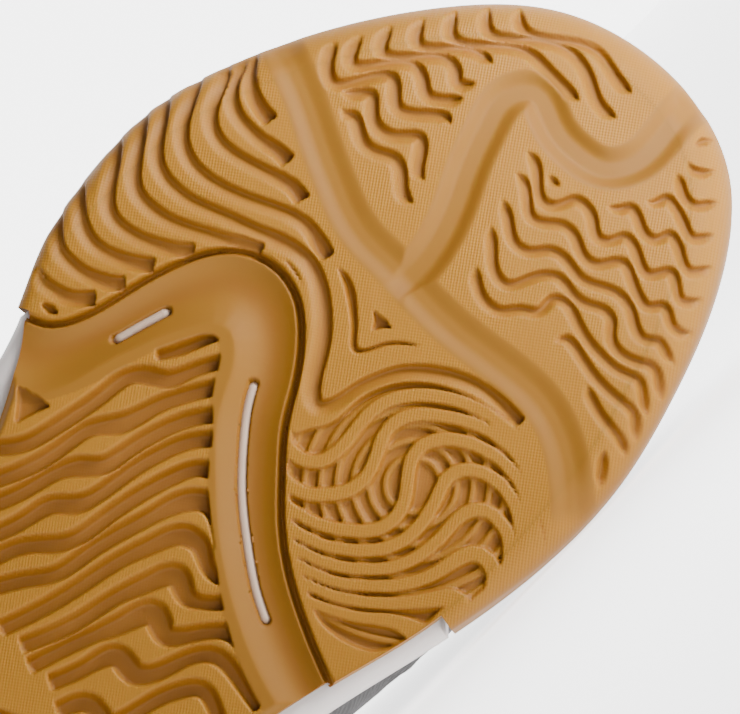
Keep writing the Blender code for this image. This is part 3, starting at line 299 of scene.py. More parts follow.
         (143.0, 15.5, 1.4), (147.0, 19.5, 1.5), (146.4, 25.0, 1.3), (144.4, 31.6, 1.0)),
        ((121.0, 3.0), (125.5, 6.8, 1.8), (125.0, 11.0, 1.7), (132.0, 15.2, 1.4),
         (138.0, 18.4, 1.5), (140.5, 21.0, 1.5), (138.4, 27.0, 1.2), (136.4, 32.0)),
    )),
)

# Turning pad: its sunk field, the long curved ribs that stand on it, and its low bar and rings
PAD_FIELD = (
    (188.0, 4.6), (190.8, 6.4), (194.0, 8.7), (200.0, 9.9), (206.0, 12.5), (210.4, 17.0),
    (213.5, 24.0), (214.9, 30.0), (214.9, 36.6), (212.9, 40.0), (211.3, 44.4), (208.0, 46.4),
    (204.3, 50.6), (201.0, 54.2), (197.5, 54.2), (194.0, 53.6), (190.5, 52.4), (187.5, 50.7),
    (184.0, 49.8), (181.6, 47.6), (177.6, 46.6), (172.0, 45.4), (166.4, 42.4), (164.0, 36.0),
    (164.2, 30.4), (165.0, 28.4), (167.2, 25.0), (169.2, 22.0), (171.0, 19.6), (173.2, 17.0),
    (175.8, 14.2), (178.7, 11.2), (182.2, 7.9), (186.0, 5.6),
)
PAD_RIBS = (
    ((185.6, 5.0, 1.5), (185.5, 9.2, 1.4), (187.4, 12.0, 1.35), (190.6, 13.2, 1.35),
     (197.0, 13.3, 1.35), (202.6, 14.2, 1.35), (207.0, 17.3, 1.35), (210.6, 22.4, 1.35),
     (212.8, 28.4, 1.3), (213.4, 34.0, 1.3), (213.1, 40.0, 1.4), (212.2, 45.0, 1.7)),
    ((180.4, 8.4, 1.5), (180.7, 13.0, 1.35), (183.0, 16.6, 1.35), (186.6, 19.6, 1.4),
     (191.0, 20.3, 1.4), (195.6, 19.0, 1.4), (200.0, 18.0, 1.4), (203.8, 19.4, 1.35),
     (206.9, 23.0, 1.3), (209.4, 27.6, 1.3), (210.9, 32.6, 1.3), (211.0, 38.0, 1.3),
     (209.4, 44.0, 1.5), (206.5, 48.6, 1.8)),
    ((176.9, 12.4, 1.3), (177.9, 18.6, 1.25), (180.6, 24.2, 1.3), (184.2, 28.2, 1.35),
     (188.2, 29.4, 1.4), (192.0, 28.4, 1.4), (196.0, 25.9, 1.4), (200.0, 24.7, 1.4),
     (203.6, 26.3, 1.35), (206.3, 29.9, 1.35), (207.8, 34.6, 1.35), (207.9, 40.0, 1.3),
     (206.0, 45.4, 1.35), (202.6, 50.0, 1.5), (199.0, 54.4, 1.7)),
    ((174.2, 15.4, 1.25), (175.4, 21.6, 1.2), (178.2, 27.0, 1.25), (182.0, 31.3, 1.3),
     (186.2, 33.4, 1.35), (191.0, 33.8, 1.4), (196.0, 32.9, 1.4), (200.0, 32.4, 1.4),
     (203.0, 34.4, 1.35), (204.5, 38.2, 1.35), (204.1, 43.0, 1.35), (201.6, 47.6, 1.4),
     (198.0, 51.4, 1.5), (195.4, 53.8, 1.7)),
    ((171.8, 18.2, 1.2), (173.4, 24.8, 1.2), (176.9, 31.0, 1.2), (181.3, 35.4, 1.25),
     (186.0, 37.5, 1.3), (191.0, 38.3, 1.35), (196.0, 38.8, 1.4), (198.8, 41.0, 1.4),
     (199.2, 44.6, 1.4), (197.4, 48.6, 1.4), (193.6, 51.6, 1.6), (191.6, 53.0, 1.7)),
    ((169.8, 20.8, 1.15), (171.4, 27.4, 1.15), (174.9, 33.4, 1.2), (179.3, 38.4, 1.25),
     (184.0, 41.4, 1.35), (188.6, 43.0, 1.5), (191.7, 45.0, 1.6), (192.2, 47.8, 1.6),
     (190.4, 50.8, 1.7), (187.8, 52.6, 1.8)),
    ((167.8, 23.4, 1.1), (169.7, 30.0, 1.15), (173.0, 36.0, 1.2), (177.2, 41.2, 1.3),
     (180.8, 44.7, 1.6), (182.8, 47.2, 1.9), (182.4, 50.6, 2.2)),
    ((165.9, 26.6, 1.0), (167.6, 32.0, 1.1), (170.4, 37.4, 1.2), (172.8, 41.4, 1.5),
     (174.0, 46.4, 2.2)),
)
PAD_BAR = ((182.6, 44.4), (186.0, 46.2), (189.6, 47.8))
PAD_CENTRE = (194.6, 28.0)


def spline(xs: Values, ys: Values, at: Values) -> np.ndarray:
    """Natural cubic through the rows.

    Args:
        xs: places of the rows.
        ys: values of the rows.
        at: places to read.

    Returns:
        Value at each place.
    """
    xs, ys, at = (np.asarray(v, float) for v in (xs, ys, at))
    count = len(xs)
    gap = np.diff(xs)
    system = np.eye(count)
    right = np.zeros(count)
    for i in range(1, count - 1):
        system[i, i - 1:i + 2] = gap[i - 1], 2.0 * (gap[i - 1] + gap[i]), gap[i]
        right[i] = 6.0 * ((ys[i + 1] - ys[i]) / gap[i] - (ys[i] - ys[i - 1]) / gap[i - 1])
    bend = np.linalg.solve(system, right)
    k = np.clip(np.searchsorted(xs, at) - 1, 0, count - 2)
    ahead = at - xs[k]
    behind = xs[k + 1] - at
    cubic = (bend[k] * behind ** 3 + bend[k + 1] * ahead ** 3) / (6.0 * gap[k])
    start = (ys[k] / gap[k] - bend[k] * gap[k] / 6.0) * behind
    end = (ys[k + 1] / gap[k] - bend[k + 1] * gap[k] / 6.0) * ahead
    return cubic + start + end


def column(table: Rows, index: int, x: Values) -> np.ndarray:
    """One column of a table at x."""
    return spline([row[0] for row in table], [row[index] for row in table], x)


def ease(share: Values) -> np.ndarray:
    """Soft step from 0 to 1."""
    share = np.clip(share, 0.0, 1.0)
    return share * share * (3.0 - 2.0 * share)


def unit(vectors: np.ndarray) -> np.ndarray:
    """Vectors of length one."""
    return vectors / np.linalg.norm(vectors, axis=-1, keepdims=True)


def reach_along(points: np.ndarray) -> np.ndarray:
    """Length along a line at each of its points."""
    return np.concatenate([[0.0], np.cumsum(np.linalg.norm(np.diff(points, axis=0), axis=1))])


def loop(steps: int) -> np.ndarray:
    """Places once round the sole: up the lateral side and back down the medial side."""
    half = np.linspace(0.0, 1.0, steps)
    return np.concatenate([half, 2.0 - half[-2:0:-1]])


def place_of(x: Values) -> np.ndarray:
    """Place along the sole, 0 at the heel and 1 at the toe."""
    return np.arccos(np.clip(1.0 - 2.0 * np.asarray(x, float) / SOLE_LENGTH, -1.0, 1.0)) / math.pi


def around(places: list, lateral: list, medial: list, w: Values) -> np.ndarray:
    """Value on a closed curve round the sole.

    Args:
        places: places of the rows, 0 at the heel and 1 at the toe.
        lateral: values on the lateral side.
        medial: values on the medial side.
        w: place to read, 0 to 1 up the lateral side and 1 to 2 back down.

    Returns:
        Value at each place.
    """
    ws = list(places) + [2.0 - p for p in places[-2:0:-1]]
    ys = list(lateral) + [m for m in medial[-2:0:-1]]
    pad = 4
    long_w = [v - 2.0 for v in ws[-pad:]] + ws + [v + 2.0 for v in ws[:pad + 1]]
    long_y = ys[-pad:] + ys + ys[:pad + 1]
    return spline(long_w, long_y, np.mod(w, 2.0))


def outline(w: Values, inset: Values = 0.0) -> tuple[np.ndarray, np.ndarray]:
    """Line of the sole wall seen from below.

    Args:
        w: places round the sole.
        inset: how far in from the wall.

    Returns:
        The points, and the outward normals there.
    """
    w = np.asarray(w, float)
    places = [float(place_of(row[0])) for row in OUTLINE]
    lateral = [row[1] for row in OUTLINE]
    medial = [row[2] for row in OUTLINE]

    def at(v: np.ndarray) -> np.ndarray:
        """Point of the wall at v."""
        x = 0.5 * SOLE_LENGTH * (1.0 - np.cos(math.pi * v))
        return np.stack([x, around(places, lateral, medial, v)], -1)

    step = 0.004
    run = unit(at(w + step) - at(w - step))
    normal = np.stack([run[..., 1], -run[..., 0]], -1)
    return at(w) - normal * np.asarray(inset)[..., None], normal


def ground(x: Values) -> np.ndarray:
    """Height of the tread above the ground: toe spring, heel bevel and a low arch."""
    x = np.asarray(x, float)
    toe = np.clip((x - SPRING_START) / (SOLE_LENGTH - SPRING_START), 0.0, None)
    heel = np.clip((BEVEL_LENGTH - x) / BEVEL_LENGTH, 0.0, None)
    arch = np.clip((x - ARCH_START) / ARCH_LENGTH, 0.0, 1.0)
    return TOE_SPRING * toe ** 2 + HEEL_BEVEL * heel ** 2 + ARCH_RISE * np.sin(math.pi * arch) ** 2


def sole_top(x: Values) -> np.ndarray:
    """Height of the top of the midsole."""
    return column(HEIGHTS, 1, x)


def upper_skin(w: Values, v: Values) -> np.ndarray:
    """Outer face of the upper.

    Args:
        w: places round the sole.
        v: level, 0 at the sole and 1 at the collar and the throat.

    Returns:
        The points.
    """
    w, v = np.broadcast_arrays(np.asarray(w, float), np.asarray(v, float))
    places = [row[0] for row in SECTIONS]

    def even(index: int) -> np.ndarray:
        """Column that is the same on both sides."""
        values = [row[index] for row in SECTIONS]
        return around(places, values, values, w)

    half = [row[3] for row in SECTIONS]
    bulge = around(places, [row[6] for row in SECTIONS], [row[7] for row in SECTIONS], w)
    foot, normal = outline(w, even(1))
    start = np.concatenate([foot, (sole_top(foot[..., 0]) + FIT)[..., None]], -1)
    end_x = even(2)
    lean = 4.0 * np.clip((end_x - 90.0) / 118.0, 0.0, 1.0)
    end_y = around(places, [-h for h in half], half, w) + lean
    end = np.stack([end_x, end_y, even(4)], -1)
    rise = start + np.concatenate([normal * bulge[..., None], even(5)[..., None]], -1)
    out = start[..., :2] - end[..., :2]
    out /= np.maximum(np.linalg.norm(out, axis=-1, keepdims=True), 1e-6)
    turn = end + np.concatenate([out * even(8)[..., None], even(9)[..., None]], -1)
    v = v[..., None]
    return ((1 - v) ** 3 * start + 3 * v * (1 - v) ** 2 * rise
            + 3 * v ** 2 * (1 - v) * turn + v ** 3 * end)


def upper_off(w: Values, v: Values, distance: Values) -> np.ndarray:
    """Face of the upper moved off along its own normal.

    Args:
        w: places round the sole.
        v: level, 0 at the sole and 1 at the collar and the throat.
        distance: how far outwards, inwards when negative.

    Returns:
        The points.
    """
    step = 0.003
    w, v = np.broadcast_arrays(np.asarray(w, float), np.asarray(v, float))
    low, high = np.clip(v - step, 0.0, 1.0), np.clip(v + step, 0.0, 1.0)
    along = upper_skin(w + step, v) - upper_skin(w - step, v)
    up = upper_skin(w, high) - upper_skin(w, low)
    normal = unit(np.cross(along, up))
    return upper_skin(w, v) + normal * np.broadcast_to(distance, w.shape)[..., None]


class Lay:
    """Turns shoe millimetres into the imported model's metres, from the heel pad's mount."""

    def __init__(self) -> None:
        """Read the mount of the heel pad."""
        mount = frame["record"]["mounts"][0]
        up = -np.array(mount["axis"], float)
        toe = unit(-np.cross((0.0, 1.0, 0.0), up))
        if toe[0] < 0.0:
            toe = -toe
        self.turn = np.column_stack([toe, np.cross(up, toe), up])
        self.origin = np.array(mount["pos_m"], float) - self.turn @ (ORIGIN_X * MM, 0.0, 0.0)

    def points(self, places: Values) -> np.ndarray:
        """Points in metres."""
        return np.asarray(places, float) * MM @ self.turn.T + self.origin

    def way(self, direction: Values) -> Vector:
        """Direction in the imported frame."""
        return Vector(self.turn @ np.asarray(direction, float)).normalized()


LAY = Lay()


def put(name: str, data: bpy.types.ID) -> bpy.types.Object:
    """Object for a mesh, a lamp or a camera, in the scene."""
    made = bpy.data.objects.new(name, data)
    bpy.context.collection.objects.link(made)
    return made


def make_object(name: str, places: Values, faces: Values) -> bpy.types.Object:
    """Smooth mesh object from shoe millimetres.

    Args:
        name: name of the piece.
        places: points in the shoe's frame.
        faces: triangles, quads or caps, outwards.

    Returns:
        The object, at the origin with its place in its mesh.
    """
    mesh = bpy.data.meshes.new(name)
    faces = [tuple(int(i) for i in face) for face in faces]
    mesh.from_pydata(LAY.points(places).tolist(), [], faces)
    mesh.update()
    mesh.shade_smooth()
    return put(name, mesh)


def set_values(piece: bpy.types.Object, name: str, values: Values) -> None:
    """Keep one number a point on the piece."""
    kept = piece.data.attributes.new(name, "FLOAT", "POINT")
    kept.data.foreach_set("value", np.asarray(values, np.float32).ravel())


def set_vectors(piece: bpy.types.Object, name: str, values: Values) -> None:
    """Keep one vector a point on the piece."""
    kept = piece.data.attributes.new(name, "FLOAT_VECTOR", "POINT")
    kept.data.foreach_set("vector", np.asarray(values, np.float32).ravel())


class Shade:
    """Short way to wire one procedural material."""

    def __init__(self, name: str) -> None:
        """Start from one Principled shader."""
        self.made = bpy.data.materials.new(name)
        self.made.use_nodes = True
        self.tree = self.made.node_tree
        self.shader = self.tree.nodes["Principled BSDF"]

    def node(self, kind: str, **settings: Any) -> bpy.types.Node:
        """Add a node with its own settings."""
        made = self.tree.nodes.new(kind)
        for key, value in settings.items():
            setattr(made, key, value)
        return made

    def feed(self, value: Any, socket: Socket) -> None:
        """Link or set one input."""
        if isinstance(value, Socket):
            self.tree.links.new(value, socket)
        else:
            socket.default_value = value

    def paint(self, colour: Socket | Colour, socket: Socket) -> None:
        """Link or set one colour input."""
        self.feed(colour if isinstance(colour, Socket) else (*colour, 1.0), socket)

    def math(self, kind: str, a: Any, b: Any = 0.0, c: Any = None) -> Socket:
        """One math step."""
        made = self.node("ShaderNodeMath", operation=kind)
        self.feed(a, made.inputs[0])
        self.feed(b, made.inputs[1])
        if c is not None:
            self.feed(c, made.inputs[2])
        return made.outputs[0]

    def mix(self, share: Any, a: Socket | Colour, b: Socket | Colour) -> Socket:
        """Mix two colours."""
        made = self.node("ShaderNodeMix", data_type="RGBA")
        self.feed(share, made.inputs["Factor"])
        self.paint(a, made.inputs[6])
        self.paint(b, made.inputs[7])
        return made.outputs[2]

    def value(self, name: str) -> Socket:
        """Number kept on the piece."""
        return self.node("ShaderNodeAttribute", attribute_name=name).outputs["Fac"]

    def vector(self, name: str) -> Socket:
        """Vector kept on the piece."""
        return self.node("ShaderNodeAttribute", attribute_name=name).outputs["Vector"]

    def place(self) -> Socket:
        """Object coordinates."""
        return self.node("ShaderNodeTexCoord").outputs["Object"]

    def noise(self, where: Socket, scale: float, detail: float = 3.0,
              rough: float = 0.55) -> Socket:
        """Noise value."""
        made = self.node("ShaderNodeTexNoise")
        self.feed(where, made.inputs["Vector"])
        made.inputs["Scale"].default_value = scale
        made.inputs["Detail"].default_value = detail
        made.inputs["Roughness"].default_value = rough
        return made.outputs["Fac"]

    def band(self, value: Socket, low: float, high: float, to_low: float = 0.0,
             to_high: float = 1.0) -> Socket:
        """Map a range to another, clamped."""
        made = self.node("ShaderNodeMapRange")
        self.feed(value, made.inputs["Value"])
        for key, number in (("From Min", low), ("From Max", high), ("To Min", to_low),
                            ("To Max", to_high)):
            made.inputs[key].default_value = number
        return made.outputs["Result"]

    def ripple(self, where: Socket, along: tuple[float, float], pitch: float) -> Socket:
        """Sine across a direction of a flat pattern in millimetres."""
        parts = self.node("ShaderNodeSeparateXYZ")
        self.feed(where, parts.inputs[0])
        turn = 2.0 * math.pi / pitch
        x = self.math("MULTIPLY", parts.outputs[0], along[0] * turn)
        y = self.math("MULTIPLY_ADD", parts.outputs[1], along[1] * turn, x)
        return self.math("SINE", y)

    def bump(self, height: Socket, distance: float, strength: float,
             after: Socket | None = None) -> Socket:
        """Bump from a height, distance in metres."""
        made = self.node("ShaderNodeBump")
        made.inputs["Strength"].default_value = strength
        made.inputs["Distance"].default_value = distance
        self.feed(height, made.inputs["Height"])
        if after is not None:
            self.feed(after, made.inputs["Normal"])
        return made.outputs["Normal"]

    def finish(self, colour: Socket | Colour, rough: Socket | float,
               normal: Socket | None = None, **plain: Any) -> bpy.types.Material:
        """Wire the shader and hand the material back.

        Args:
            colour: base colour.
            rough: roughness.
            normal: end of the row of bumps, where there is one.
            **plain: further inputs of the shader, by their names in small letters.

        Returns:
            The material.
        """
        self.paint(colour, self.shader.inputs["Base Color"])
        self.feed(rough, self.shader.inputs["Roughness"])
        if normal is not None:
            self.feed(normal, self.shader.inputs["Normal"])
        for key, number in plain.items():
            name = key.replace("_", " ").title().replace("Ior", "IOR")
            self.shader.inputs[name].default_value = number
        return self.made


@dataclass(frozen=True)
class GumRubber:
    """Gum rubber: pale tops, fine woven grip, and painted light: deep orange painted shade on the
    shaded groove walls, darker floors that are partly painted shade, and painted highlights on the
    crests of the grip.
    """

    top: Colour = (0.222, 0.094, 0.0055)
    # Painted shade: deep orange for groove walls facing away from the light, set by the
    # painted_shade mask.
    wall: Colour = (0.172, 0.059, 0.004)
    # Partly painted shade of the recess, partly the rubber's pinker tone in the groove floors.
    floor: Colour = (0.192, 0.074, 0.009)
    bare: Colour = (0.110, 0.044, 0.004)
    cloud: Colour = (0.20, 0.079, 0.0008)
    # Painted highlight on the raised crests of the woven grip.
    painted_crest_highlight: Colour = (0.31, 0.14, 0.003)
    pitch: float = 0.56

    def make(self) -> bpy.types.Material:
        """Build the material; it reads relief, grip and plan from the piece."""
        s = Shade("gum rubber")
        relief = s.value("relief")
        grip = s.value("grip")
        plan = s.vector("plan")
        place = s.place()
        # Deeper points take the darker floor colour: partly painted recess shade.
        colour = s.mix(s.band(relief, 0.05, 0.95), self.top, self.floor)
        # Painted shade: the orange wall colour wherever the painted_shade mask is set.
        colour = s.mix(s.math("MULTIPLY", s.value("painted_shade"), 0.92), colour, self.wall)
        colour = s.mix(s.band(grip, 0.0, 1.0, 0.46, 0.0), colour, self.bare)
        slow = s.noise(place, 34.0, 4.0)
        fine = s.noise(place, 900.0, 2.0)
        colour = s.mix(s.band(slow, 0.35, 0.7, 0.0, 0.22), colour, self.cloud)
        mesh_a = s.ripple(plan, (0.50, 0.866), self.pitch)
        mesh_b = s.ripple(plan, (0.866, -0.50), self.pitch)
        weave = s.math("ADD", mesh_a, s.math("MULTIPLY", mesh_b, 0.55))
        worn = s.band(s.noise(place, 60.0, 2.0), 0.3, 0.62, 0.45, 1.0)
        soft = s.band(relief, 0.0, 0.8, 1.0, 0.4)
        height = s.math("MULTIPLY", s.math("MULTIPLY", weave, soft),
                        s.math("MULTIPLY", grip, worn))
        # Painted highlight: the crests of the weave turn lighter.
        colour = s.mix(s.band(height, 0.1, 1.2, 0.0, 0.2), colour, self.painted_crest_highlight)
        normal = s.bump(height, 0.00004, 0.5)
        normal = s.bump(fine, 0.00006, 0.25, normal)
        rough = s.band(slow, 0.3, 0.7, 0.52, 0.64)
        return s.finish(colour, rough, normal, specular_ior_level=0.2, subsurface_weight=0.12,
                        subsurface_scale=0.0012)


@dataclass(frozen=True)
class Foam:
    """Off-white moulded foam with light dust."""

    name: str = "midsole foam"
    colour: Colour = (0.52, 0.475, 0.455)

    def make(self) -> bpy.types.Material:
        """Build the material."""
        s = Shade(self.name)
        place = s.place()
        dust = s.noise(place, 70.0, 5.0)
        dusty = tuple(0.85 * part for part in self.colour)
        colour = s.mix(s.band(dust, 0.5, 0.75, 0.0, 0.35), self.colour, dusty)
        normal = s.bump(s.noise(place, 1400.0, 2.0), 0.00005, 0.5)
        normal = s.bump(s.noise(place, 160.0, 3.0), 0.0002, 0.3, normal)
        return s.finish(colour, 0.62, normal, subsurface_weight=0.08, subsurface_scale=0.001)


@dataclass(frozen=True)
class Synthetic:
    """Coated synthetic: base colour, how strong its ribs are and how glossy it is."""

    name: str
    colour: Colour
    light: Colour
    rib: float
    pitch: float
    rough: float

    def make(self) -> bpy.types.Material:
        """Build the material; it reads cloth, a flat pattern in millimetres, and crease."""
        s = Shade(self.name)
        cloth = s.vector("cloth")
        place = s.place()
        ribs = s.ripple(cloth, (1.0, 0.0), self.pitch)
        cross = s.ripple(cloth, (0.0, 1.0), self.pitch * 0.7)
        weave = s.math("ADD", ribs, s.math("MULTIPLY", cross, 0.5))
        grain = s.noise(place, 1300.0, 3.0)
        scuff = s.noise(place, 55.0, 5.0, 0.65)
        colour = s.mix(s.band(weave, -0.4, 1.4, 0.0, 0.35), self.colour, self.light)
        colour = s.mix(s.band(scuff, 0.55, 0.75, 0.0, 0.3), colour, self.light)
        colour = s.mix(s.math("MULTIPLY", s.value("crease"), 0.5), colour, self.light)
        normal = s.bump(weave, 0.0001 * self.rib, 0.8)
        normal = s.bump(grain, 0.00008, 0.45, normal)
        rough = s.band(scuff, 0.3, 0.7, self.rough - 0.08, self.rough + 0.1)
        return s.finish(colour, rough, normal, specular_ior_level=0.22)


@dataclass(frozen=True)
class Cloth:
    """Brushed or woven cloth."""

    name: str
    colour: Colour
    light: Colour
    pitch: float
    relief: float

    def make(self) -> bpy.types.Material:
        """Build the material."""
        s = Shade(self.name)
        cloth = s.vector("cloth")
        place = s.place()
        warp = s.ripple(cloth, (0.707, 0.707), self.pitch)
        weft = s.ripple(cloth, (0.707, -0.707), self.pitch)
        weave = s.math("MULTIPLY", warp, weft)
        colour = s.mix(s.band(weave, -1.0, 1.0, 0.0, 0.6), self.colour, self.light)
        colour = s.mix(s.band(s.noise(place, 120.0, 4.0), 0.5, 0.8, 0.0, 0.3), colour, self.light)
        normal = s.bump(weave, self.relief, 0.9)
        normal = s.bump(s.noise(place, 2200.0, 2.0), 0.0001, 0.5, normal)
        return s.finish(colour, 0.9, normal, sheen_weight=0.3, sheen_roughness=0.5)


class Line:
    """Smooth line through charted points, with its width along it."""

    def __init__(self, points: Rows, half: float = 0.0, spacing: float = 0.9,
                 spare: float = 3.0) -> None:
        """Resample the points and add a spare length past both ends.

        Args:
            points: charted points, each with its half width where that isn't half.
            half: half width elsewhere.
            spacing: gap between the new points.
            spare: length added past each end.
        """
        rows = np.array([tuple(p[:2]) for p in points], float)
        widths = np.array([p[2] if len(p) > 2 else half for p in points], float)
        reach = reach_along(rows)
        self.length = float(reach[-1])
        count = max(4, int(round(self.length / spacing)) + 1)
        at = np.linspace(0.0, self.length, count)
        xy = np.stack([spline(reach, rows[:, 0], at), spline(reach, rows[:, 1], at)], -1)
        first = xy[0] + (xy[0] - xy[1]) / np.linalg.norm(xy[0] - xy[1]) * spare
        last = xy[-1] + (xy[-1] - xy[-2]) / np.linalg.norm(xy[-1] - xy[-2]) * spare
        self.points = np.vstack([first, xy, last])
        self.arc = np.concatenate([[-spare], at, [self.length + spare]])
        self.rows = reach
        self.widths = widths

    def half_at(self, arc: np.ndarray) -> np.ndarray:
        """Half width along the line."""
        return np.interp(arc, self.rows, self.widths)

    def measure(self, xy: np.ndarray) -> tuple[np.ndarray, np.ndarray, np.ndarray]:
        """Where points lie beside the line.

        Args:
            xy: points in the shoe's plan.

        Returns:
            Distance, positive to the left, then the place along the line and the left normal.
        """
        a = self.points[:-1]
        run = np.diff(self.points, axis=0)
        size = np.linalg.norm(run, axis=1)
        ahead = run / size[:, None]
        left = np.stack([-ahead[:, 1], ahead[:, 0]], -1)
        from_a = np.einsum("ij,ij->i", a, ahead)
        left_a = np.einsum("ij,ij->i", a, left)
        distance = np.empty(len(xy))
        arc = np.empty(len(xy))
        normal = np.empty((len(xy), 2))
        chunk = 8000
        for low in range(0, len(xy), chunk):
            p = xy[low:low + chunk]
            along = p @ ahead.T - from_a
            side = p @ left.T - left_a
            over = along - np.clip(along, 0.0, size)
            square = over * over + side * side
            k = np.argmin(square, axis=1)
            row = np.arange(len(p))
            distance[low:low + chunk] = np.copysign(np.sqrt(square[row, k]), side[row, k])
            arc[low:low + chunk] = self.arc[k] + np.clip(along[row, k], 0.0, size[k])
            normal[low:low + chunk] = left[k]
        return distance, arc, normal


@dataclass(frozen=True)
class Channel:
    """Smooth channel over the forefoot: its line, half width, depth and width of its walls."""

    line: Line
    half: float
    depth: float
    wall: float


class Relief:
    """Depth of the tread at any point seen from below. Sizes are in millimetres."""

    PAD_DEPTH = 1.65
    PAD_LOW = 0.85
    RING_PITCH = 3.0
    COVE_DEPTH = 2.1
    LIP_DEPTH = 2.7
    WINDOW_DEPTH = 3.1
    WINDOW_HALF = 1.1
    STEEPENING = 0.62

    def __init__(self) -> None:
        """Draw every line once."""
        self.grooves = [(cut, Line(points, cut.half)) for cut, lines in TREAD for points in lines]
        self.split = Line(SPLIT, spacing=1.6)
        self.cove_edge = Line(COVE_EDGE, spacing=2.0)
        self.rib_stop = Line(RIB_STOP, spacing=2.0)
        self.windows = [Line(points) for points in WINDOWS]
        across = Line(((243.6, -44.0), (238.0, -33.0), (233.0, -25.0), (229.0, -18.0),
                       (226.0, -12.0), (224.5, -6.0), (224.0, -1.0), (222.6, 8.0),
                       (221.8, 18.0), (222.0, 28.0), (221.0, 38.0), (217.0, 46.0),
                       (211.0, 52.5), (207.0, 56.0)))
        ahead = Line(((222.4, 3.0), (227.5, 3.5), (233.0, 3.0), (240.0, 1.2), (248.0, -1.8),
                      (256.0, -4.0), (263.0, -4.4), (266.0, -1.8), (263.6, 5.0),
                      (262.0, 12.0), (263.0, 18.0), (268.0, 21.8), (276.0, 22.2),
                      (286.0, 21.6)))
        self.channels = (Channel(across, 4.2, 0.7, 3.6), Channel(ahead, 4.4, 1.35, 3.2))
        self.heel_waves = [self.heel_wave(i) for i in range(13)]
        self.pad = Line((*PAD_FIELD, PAD_FIELD[0]), spacing=1.2, spare=0.1)
        self.pad_ribs = [Line(points, spacing=0.8) for points in PAD_RIBS]
        self.pad_bar = Line(PAD_BAR)

    @staticmethod
    def heel_wave(index: int) -> tuple[Cut, Line]:
        """Wave across the waist or the heel, outside the photograph."""
        x = 117.0 - 7.6 * index
        if index > 9:
            x -= 16.0
        wave = tuple((x + 4.0 * math.sin(y / 8.5) - 2.2 * math.cos(y / 15.0), y)
                     for y in (-28.0, -20.0, -12.0, -4.0, 4.0, 12.0, 20.0, 28.0))
        return WAVE, Line(wave, WAVE.half)

    @staticmethod
    def near(xy: np.ndarray, line: Line, reach: float) -> np.ndarray:
        """Numbers of the points near a line."""
        low = line.points.min(axis=0) - reach
        high = line.points.max(axis=0) + reach
        return np.flatnonzero(((xy > low) & (xy < high)).all(axis=1))

    def side_of_split(self, xy: np.ndarray) -> np.ndarray:
        """Distance from the split, positive on the toe side."""
        return -self.split.measure(xy)[0]

    def snap(self, xy: np.ndarray, cell: float, others: list) -> np.ndarray:
        """Move points near a groove's top edge or a border on to it.

        Args:
            xy: points in the shoe's plan.
            cell: gap between the points.
            others: further lines with their half widths, 0 for a border.

        Returns:
            The moved points.
        """
        moved = xy.copy()
        done = np.zeros(len(xy), bool)

        def shift(pick: np.ndarray, normal: np.ndarray, distance: np.ndarray, gap: np.ndarray,
                  hit: np.ndarray) -> None:
            """Move the points that hit by their gap, away from the line."""
            sign = np.where(distance < 0.0, -1.0, 1.0)
            moved[pick[hit]] += normal[hit] * (gap * sign)[hit, None]
            done[pick[hit]] = True

        for line, half in others:
            pick = self.near(xy, line, half + 2.0)
            pick = pick[~done[pick]]
            distance, arc, normal = line.measure(xy[pick])
            gap = half - np.abs(distance)
            if half > 0.0:
                hit = (np.abs(gap) < 0.45 * cell) & (arc > 0.0) & (arc < line.length)
            else:
                hit = (distance > -1.3 * cell) & (distance < 0.45 * cell)
            shift(pick, normal, distance, gap, hit)
        distance, _, normal = self.split.measure(xy)
        hit = (np.abs(distance) < 0.45 * cell) & ~done
        moved[hit] -= normal[hit] * distance[hit, None]
        done |= hit
        in_pad = self.pad_distance(xy)
        for line in self.pad_ribs:
            pick = self.near(xy, line, 3.0)
            pick = pick[~done[pick] & (in_pad[pick] > 0.3)]
            distance, arc, normal = line.measure(xy[pick])
            gap = line.half_at(arc) - 0.3 - np.abs(distance)
            shift(pick, normal, distance, gap, np.abs(gap) < 0.3 * cell)
        for cut, line in self.grooves + self.heel_waves:
            pick = self.near(xy, line, 2.0)
            pick = pick[~done[pick]]
            if not len(pick):
                continue
            distance, arc, normal = line.measure(xy[pick])
            half = line.half_at(arc) * self.taper(cut, line, arc)
            if cut.spread or cut.shelf:
                crisp = distance < 0.0 if cut.spread else distance > 0.0
                pick, distance, normal, half = (v[crisp]
                                                for v in (pick, distance, normal, half))
            gap = half - np.abs(distance)
            shift(pick, normal, distance, gap, (np.abs(gap) < 0.36 * cell) & (half > 0.25))
        return moved

    def pad_distance(self, xy: np.ndarray) -> np.ndarray:
        """How far inside the turning pad's field each point lies."""
        inside = np.full(len(xy), -9.0)
        pick = self.near(xy, self.pad, 0.5)
        inside[pick] = self.pad.measure(xy[pick])[0]
        middle = np.mean(PAD_FIELD, axis=0)[None]
        return inside * np.sign(self.pad.measure(middle)[0][0])

